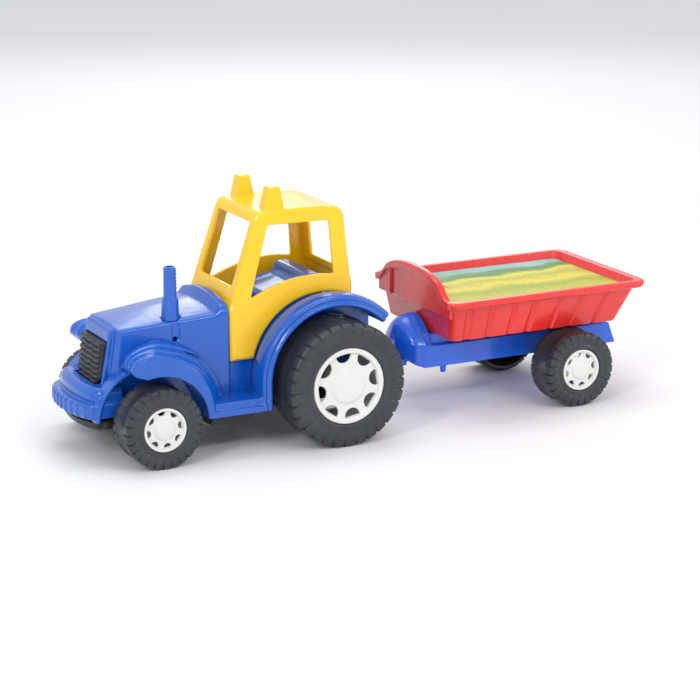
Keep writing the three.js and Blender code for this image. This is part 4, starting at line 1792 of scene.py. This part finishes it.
@dataclass
class TrailerChassis:
    """The trailer's blue frame: low rails, a spine, the domed nose and the drawbar."""

    front: float = -95.3
    rear: float = -272.5
    half: float = 27.0
    spine: float = 22.0
    bottom: float = 34.5
    rail_top: float = 52.0
    top: float = 60.3
    nose_back: float = -102.5
    crown_z: float = 73.5
    eye: Span = (33.0, 38.0)

    def section(self, shrink: float) -> Outline:
        """Draw the rails and spine across the trailer.

        Args:
            shrink: How far the skin is moved in.

        Returns:
            The outline in Y and Z.
        """
        low = self.bottom - (5 if shrink else 0)
        right = [
            (self.half - shrink, low), (self.half - shrink, self.rail_top - shrink),
            (self.spine - shrink, self.rail_top - shrink), (self.spine - shrink, self.top - shrink),
        ]
        return [*right, *[(-y, z) for y, z in reversed(right)]]

    def slant(self, shift: float) -> Solid:
        """Make what is cut off behind the leaning rear end.

        Args:
            shift: How far forwards of the rear end the cut is.

        Returns:
            The solid that is cut away.
        """
        foot, far = self.rear + shift, self.rear - 9
        outline = [(far, 20), (foot, 20), (foot, self.bottom), (foot + 10, self.top), (far, self.top + 9)]
        return Solid.prism(Axis.Y, outline, (-40, 40))

    def rails(self) -> Solid:
        """Make the open channel under the tub, with axle ears and stands.

        Returns:
            The solid.
        """
        hollow = Solid.prism(Axis.X, self.section(WALL), (self.rear, self.front - WALL))
        hollow = hollow.without(self.slant(WALL))
        inner = self.spine - WALL
        shell = Solid.prism(Axis.X, self.section(0), (self.rear, self.front)).without(
            self.slant(0),
            hollow,
            Solid.box((self.nose_back, self.front + 1), (-28, 28), (self.rail_top, self.top + 1)),
            Solid.box((self.rear - 1, TIP_AT[0] + 12), (-inner, inner), (48.5, self.top + 1)),
        )
        low = self.bottom + 3
        ear = Solid.prism(
            Axis.Y,
            [(-203, low), *arc((TRAILER_AXLE_X, SMALL_RADIUS), 5.6, -20, -160, 12), (-219, low)],
            (self.half - WALL, self.half),
        )
        at = (self.front - 18.5, self.half - 4)
        stand = Solid.post(2.2, 2.6, (28.5, self.bottom + 2), at, 24)
        across, up = (self.half - 5, self.half - 1), (self.bottom, self.bottom + 6)
        bracket = Solid.box((at[0] - 2, at[0] + 2), across, up)
        parts = [part for one in (ear, stand, bracket) for part in (one, one.mirrored())]
        return shell.joined(*parts).without(
            Solid.rod(BEARING_RADIUS, (-40, 40), (TRAILER_AXLE_X, SMALL_RADIUS)),
            Solid.rod(BEARING_RADIUS, (-40, 40), TIP_AT),
        )

    def arch(self, share: float, shrink: float = 0.0) -> Outline:
        """Draw the nose's arch across the trailer.

        Args:
            share: Its size as a share of the full arch, which shrinks towards its middle.
            shrink: How far its skin is moved in first.

        Returns:
            The outline in Y and Z.
        """
        reach, rise = self.half - shrink, self.crown_z - shrink - self.rail_top
        low = self.bottom - (5 if shrink else 0)
        left = [(reach, low), (reach, (low + self.rail_top) / 2), (reach, self.rail_top)]
        for k in range(1, 16):
            part = math.cos(math.pi / 2 * k / 16)
            left.append((reach * part, self.rail_top + rise * (1 - part**1.7) ** 0.85))
        outline = [*left, (0.0, self.rail_top + rise), *[(-y, z) for y, z in reversed(left)]]
        return [(y * share, 57 + (z - 57) * share) for y, z in outline]

    def nose(self) -> Solid:
        """Make the domed housing in front of the tub.

        Returns:
            The solid.
        """
        sections = [(self.arch(0.97), self.nose_back), (self.arch(1), self.nose_back + 1.2)]
        sections += [(self.arch(1), self.front - 0.8), (self.arch(0.98), self.front + 0.5)]
        depth, reach = 13.9, 0.955
        for k in range(1, 12):
            angle = math.pi / 2 * k / 12
            share = reach * math.cos(angle) ** 0.8
            sections.append((self.arch(share), self.front + 0.6 + depth * math.sin(angle)))
        hollow = [(self.arch(1, WALL), self.nose_back + WALL), (self.arch(0.88, WALL), -91)]
        return Solid.stack(Axis.X, sections).without(Solid.stack(Axis.X, hollow))

    def drawbar(self) -> Solid:
        """Make the drawbar with its eye and web.

        Returns:
            The solid.
        """
        root, (low, high) = -90, self.eye
        plan = [(root, 7.5), (-60, 6.5), *arc((HITCH_X, 0), 6.6, 75, -75, 16), (-60, -6.5), (root, -7.5)]
        web = [(root, low), (-60, low), (-60, high), (-66, 48), (-83, 54), (root, 54)]
        bar = Solid.prism(Axis.Z, plan, self.eye).joined(Solid.prism(Axis.Y, web, (-5, 5)))
        return bar.without(Solid.post(3, 3, (30, 45), (HITCH_X, 0)))

    def build(self, shop: Workshop) -> None:
        """Mould the chassis, turn the hinge pin, and deliver both.

        Args:
            shop: Where the pieces are put in the frame.
        """
        shape = self.rails().joined(self.nose(), self.drawbar())
        piece = Piece("trailer_frame", "trailer", "trailer_blue_plastic", ("trailer_chassis",))
        shop.deliver(shape.moulded(0.6, 4), piece, TRAILER_BLUE)
        pin = Solid.eased_rod(AXLE_RADIUS, self.spine - 0.5, TIP_AT)
        hinge = Piece("tub_pivot_rod", "trailer", "steel", ("tub_hinge_pin",))
        shop.deliver(pin, hinge, STEEL, sharp=CRISP_EDGE)


@dataclass
class Tub:
    """The red tipping tub: fluted walls, a rolled rim and an arched headboard."""

    floor_z: float = 60.7
    rim_z: float = 94.0
    wall: float = 2.2
    foot_x: Span = (-256.0, -105.0)
    foot_half: float = 53.0
    mouth_x: Span = (-272.5, -100.0)
    mouth_half: float = 62.0
    lip_x: Span = (-277.5, -96.5)
    lip_half: float = 66.0
    arch_z: float = 112.5
    flute: float = 1.6

    def fluted(self, x: Span, half: float, corner: float) -> Outline:
        """Draw the tub from above, with upright flutes along its long sides.

        Args:
            x: The rear and front.
            half: Half the width.
            corner: The corners' radius.

        Returns:
            The outline, with flutes at the same shares of every length.
        """
        side: Outline = []
        for i in range(FLUTE_SAMPLES + 1):
            share = i / FLUTE_SAMPLES
            depth = 0.0
            for low, high in FLUTES:
                sunk = smooth_step(low, low + FLUTE_EASE, share)
                depth = max(depth, sunk * (1 - smooth_step(high - FLUTE_EASE, high, share)))
            side.append((share, self.flute * depth))
        rear, front = x[0] + corner, x[1] - corner
        length = front - rear
        left = [(front - share * length, half - deep) for share, deep in side]
        right = [(px, -py) for px, py in reversed(left)]
        return [
            *arc((front, half - corner), corner, 0, 84, 8),
            *left,
            *arc((rear, half - corner), corner, 96, 180, 8),
            *arc((rear, corner - half), corner, 180, 264, 8),
            *right,
            *arc((front, corner - half), corner, 276, 360, 8),
        ]

    def arch(self, half: float, crown: float, steps: int = 48) -> Outline:
        """Draw the headboard's outline across the tub.

        Args:
            half: Half its width.
            crown: The level of its middle.
            steps: Chords along its top.

        Returns:
            The outline in Y and Z.
        """
        top = []
        for i in range(steps + 1):
            y = half * (1 - 2 * i / steps)
            share = 1 - abs(y) / half
            lift = (1 - (1 - share) ** 2.6) * smooth_step(0, 0.35, share)
            top.append((y, self.rim_z + (crown - self.rim_z) * lift))
        return [(half, 80), *top, (-half, 80)]

    def lip(self) -> Solid:
        """Make the rolled rim as a full slab, which the tub's mouth is cut through.

        Returns:
            The solid.
        """
        levels = [(88.4, 1.8), (89.2, 0.6), (90.4, 0.1), (92.2, 0.0), (93.4, 0.5), (94.0, 1.7)]
        sections = []
        for z, ease in levels:
            x = (self.lip_x[0] + ease, self.lip_x[1] - ease)
            sections.append((rounded_plan(x, self.lip_half - ease, 11 - ease, 10), z))
        front = self.mouth_x[1] + 0.9
        gap = Solid.box((front, front + 9), (-55, 55), (80, 96))
        return Solid.stack(Axis.Z, sections).without(gap)

    def headboard(self) -> Solid:
        """Make the arched board with the rim's roll carried over its top.

        Returns:
            The solid.
        """
        front = self.mouth_x[1]
        half = self.mouth_half - 3.5
        board = Solid.prism(Axis.X, self.arch(half, self.arch_z), (front - 1.9, front + 0.9))
        over, end = self.arch(half + 2, self.arch_z), self.lip_x[1]
        small = self.arch(half + 1.2, self.arch_z - 1.3)
        rings = [(small, front - 2.6), (over, front - 1.4), (over, end - 1.4), (small, end)]
        roll = Solid.stack(Axis.X, rings)
        below = [(y, z - 6) for y, z in self.arch(half + 4, self.arch_z)]
        hidden = Solid.prism(Axis.X, below, (front - 9, end + 4))
        foot = Solid.box((front - 9, end + 4), (-70, 70), (60, 88.4))
        return board.joined(roll.without(hidden, foot))

    def build(self, shop: Workshop) -> None:
        """Mould the tub and deliver it.

        Args:
            shop: Where the piece is put in the frame.
        """
        body = Solid.stack(
            Axis.Z,
            [
                (self.fluted(self.foot_x, self.foot_half, 6), self.floor_z),
                (self.fluted(self.mouth_x, self.mouth_half, 9), self.rim_z - 1),
            ],
        )
        w = self.wall
        mouth = rounded_plan((self.mouth_x[0] + w, self.mouth_x[1] - w), self.mouth_half - w, 7)
        foot = rounded_plan((self.foot_x[0] + w, self.foot_x[1] - w), self.foot_half - w, 4)
        levels = [(foot, self.floor_z + w), (mouth, self.rim_z + 0.1), (mouth, self.arch_z + 5)]
        basin = Solid.stack(Axis.Z, levels)
        x, z = TIP_AT
        lug = Solid.box((x - 4, x + 5), (10, 18), (z - 4.5, self.floor_z + 1))
        slot = rounded([(-22, 72), (-22, 103), (-38, 101), (-38, 72)], 2.5)
        panel = Solid.prism(Axis.X, slot, (self.mouth_x[1] - 1.0, -90))
        shape = body.joined(self.lip(), self.headboard()).without(basin, panel).joined(lug, lug.mirrored())
        shape = shape.without(Solid.rod(BEARING_RADIUS, (-30, 30), TIP_AT))
        piece = Piece("tipping_tub", "tub", "red_plastic", ("tub",))
        shop.deliver(shape.moulded(0.6, 3), piece, TUB_RED)


@dataclass
class SceneCard:
    """The printed card in the tub: a deck just under the rim, folded down along both sides."""

    deck_z: float = 88.0
    deck_x: Span = (-266.2, -104.2)
    deck_half: float = 57.4
    foot_z: float = 63.2
    foot_half: float = 50.3
    flap_x: Span = (-250.0, -111.0)
    thick: float = 0.8

    def fold(self, shrink: float, low: float) -> Outline:
        """Draw the folded card across the tub.

        Args:
            shrink: How far inside the card's outer face the line runs.
            low: The level of its lower ends.

        Returns:
            The outline in Y and Z.
        """
        wide, narrow = self.deck_half - shrink, self.foot_half - shrink
        top = self.deck_z - shrink
        return [(narrow, low), (wide, top), (-wide, top), (-narrow, low)]

    def build(self, shop: Workshop) -> None:
        """Fold the card and deliver it.

        Args:
            shop: Where the piece is put in the frame.
        """
        plan = rounded_plan(self.deck_x, self.deck_half, 6.5)
        deck = Solid.prism(Axis.Z, plan, (self.deck_z - self.thick, self.deck_z))
        outer = Solid.prism(Axis.X, self.fold(0, self.foot_z), self.flap_x)
        through = (self.flap_x[0] - 9, self.flap_x[1] + 9)
        inner = Solid.prism(Axis.X, self.fold(self.thick, self.foot_z - 2), through)
        piece = Piece("farm_card", "tub", "printed_card", ("scene_card",))
        far, near = shop.point(0, -self.deck_half, 0).y, shop.point(0, self.deck_half, 0).y
        finish = PrintedFarmland("farmland", near, far)
        shop.deliver(deck.joined(outer.without(inner)), piece, finish, sharp=CRISP_EDGE)


# ---- studio -----------------------------------------------------------------------------


@dataclass(frozen=True)
class Lamp:
    """A rectangular soft lamp that faces the toy.

    Attributes:
        name: The lamp's name.
        at: Where it hangs, in metres.
        size: Its width and height, in metres.
        power: Its power in watts.
    """

    name: str
    at: Place
    size: Point
    power: float

    def hang(self, target: Place) -> None:
        """Hang the lamp.

        Args:
            target: The point that it faces, in metres.
        """
        data = bpy.data.lights.new(self.name, "AREA")
        data.shape, (data.size, data.size_y), data.energy = "RECTANGLE", self.size, self.power
        item = bpy.data.objects.new(self.name, data)
        item.location = self.at
        aim = Vector(target) - Vector(self.at)
        item.rotation_mode = "QUATERNION"
        item.rotation_quaternion = aim.to_track_quat("-Z", "Y")
        bpy.context.scene.collection.objects.link(item)


LAMPS = (
    Lamp("key", (1.6, 1.1, 1.3), (0.35, 0.9), 13),
    Lamp("strip", (-0.2, 1.7, 1.5), (1.1, 0.22), 9),
    Lamp("fill", (-1.5, 1.3, 0.7), (0.5, 0.9), 5),
    Lamp("top", (0.0, -0.5, 1.8), (1.4, 0.8), 9),
    Lamp("back", (-0.8, -1.7, 1.0), (0.8, 0.8), 5),
)


@dataclass
class Studio:
    """The pale floor, soft lamps and the camera."""

    eye: Place = (717.6, 1491.0, 504.4)
    look: Place = (-0.4387, -0.8595, -0.2623)
    lens: float = 114.4
    sensor: float = 36.0
    target: Place = (0.02, 0, 0.08)
    sky: tuple[float, float, float, float] = (0.96, 0.98, 1.0, 1.0)
    sky_strength: float = 0.78

    def floor(self, shop: Workshop) -> None:
        """Lay a wide floor with a gentle edge.

        Args:
            shop: Where the floor is put in the frame.
        """
        rings, spokes, radius = 12, 96, 6.0
        points = [(0.0, 0.0, 0.0)]
        for ring in range(1, rings + 1):
            reach = radius * ring / rings
            drop = -0.02 * smooth_step(0.7, 1.0, ring / rings)
            for k in range(spokes):
                angle = 2 * math.pi * k / spokes
                points.append((reach * math.cos(angle), reach * math.sin(angle), drop))
        faces = [(0, 1 + k, 1 + (k + 1) % spokes) for k in range(spokes)]
        for ring in range(rings - 1):
            a = 1 + ring * spokes
            for k in range(spokes):
                j = (k + 1) % spokes
                faces.append((a + k, a + spokes + k, a + spokes + j, a + j))
        mesh = bpy.data.meshes.new("floor")
        mesh.from_pydata(points, [], faces)
        mesh.materials.append(shop.material(PaleFloor()))
        item = bpy.data.objects.new("floor", mesh)
        bpy.context.scene.collection.objects.link(item)

    def camera(self, shop: Workshop) -> None:
        """Set the camera up at its fixed place.

        Args:
            shop: Where the camera is put in the frame.
        """
        data = bpy.data.cameras.new("camera")
        data.lens, data.sensor_width = self.lens, self.sensor
        data.clip_start, data.clip_end = 0.05, 60
        item = bpy.data.objects.new("camera", data)
        item.location = shop.point(*self.eye)
        item.rotation_mode = "QUATERNION"
        item.rotation_quaternion = Vector(self.look).to_track_quat("-Z", "Y")
        bpy.context.scene.collection.objects.link(item)
        bpy.context.scene.camera = item

    def build(self, shop: Workshop) -> None:
        """Set up floor, lamps, sky and camera.

        Args:
            shop: Where the floor and camera are put in the frame.
        """
        self.floor(shop)
        self.camera(shop)
        for lamp in LAMPS:
            lamp.hang(self.target)
        world = bpy.data.worlds.new("studio")
        world.use_nodes = True
        sky = world.node_tree.nodes["Background"]
        sky.inputs["Color"].default_value = self.sky
        sky.inputs["Strength"].default_value = self.sky_strength
        bpy.context.scene.world = world
        bpy.context.scene.view_settings.view_transform = "Standard"


def main() -> None:
    """Build every sub-assembly in order."""
    logging.basicConfig(level=logging.INFO, format="%(name)s %(message)s")
    shop = Workshop()
    small = Wheel(
        radius=SMALL_RADIUS, hub=16.4, inner=43, outer=73, lugs=26, slot=2.9, slot_at=12.4, voxel=0.34
    )
    big = Wheel(
        radius=BIG_RADIUS, hub=28.9, inner=44, outer=84.6, lugs=30, slot=6.2, slot_at=21.9, voxel=0.46
    )
    for assembly in (TractorBody(), SideFenders(), Grille(), ExhaustStack(), Cab(), Seat(), Underside()):
        assembly.build(shop)
        LOG.info("%s done", type(assembly).__name__)
    shapes = {id(wheel): (wheel.tyre(), wheel.hub_shape()) for wheel in (small, big)}
    for pair in (
        WheelPair("front", FRONT_AXLE_X, small),
        WheelPair("rear", 0, big),
        WheelPair("trailer", TRAILER_AXLE_X, small),
    ):
        pair.build(shop, *shapes[id(pair.wheel)])
        LOG.info("%s wheels done", pair.place)
    for assembly in (TrailerChassis(), Tub(), SceneCard()):
        assembly.build(shop)
        LOG.info("%s done", type(assembly).__name__)
    Studio().build(shop)


if __name__ == "__main__":
    main()
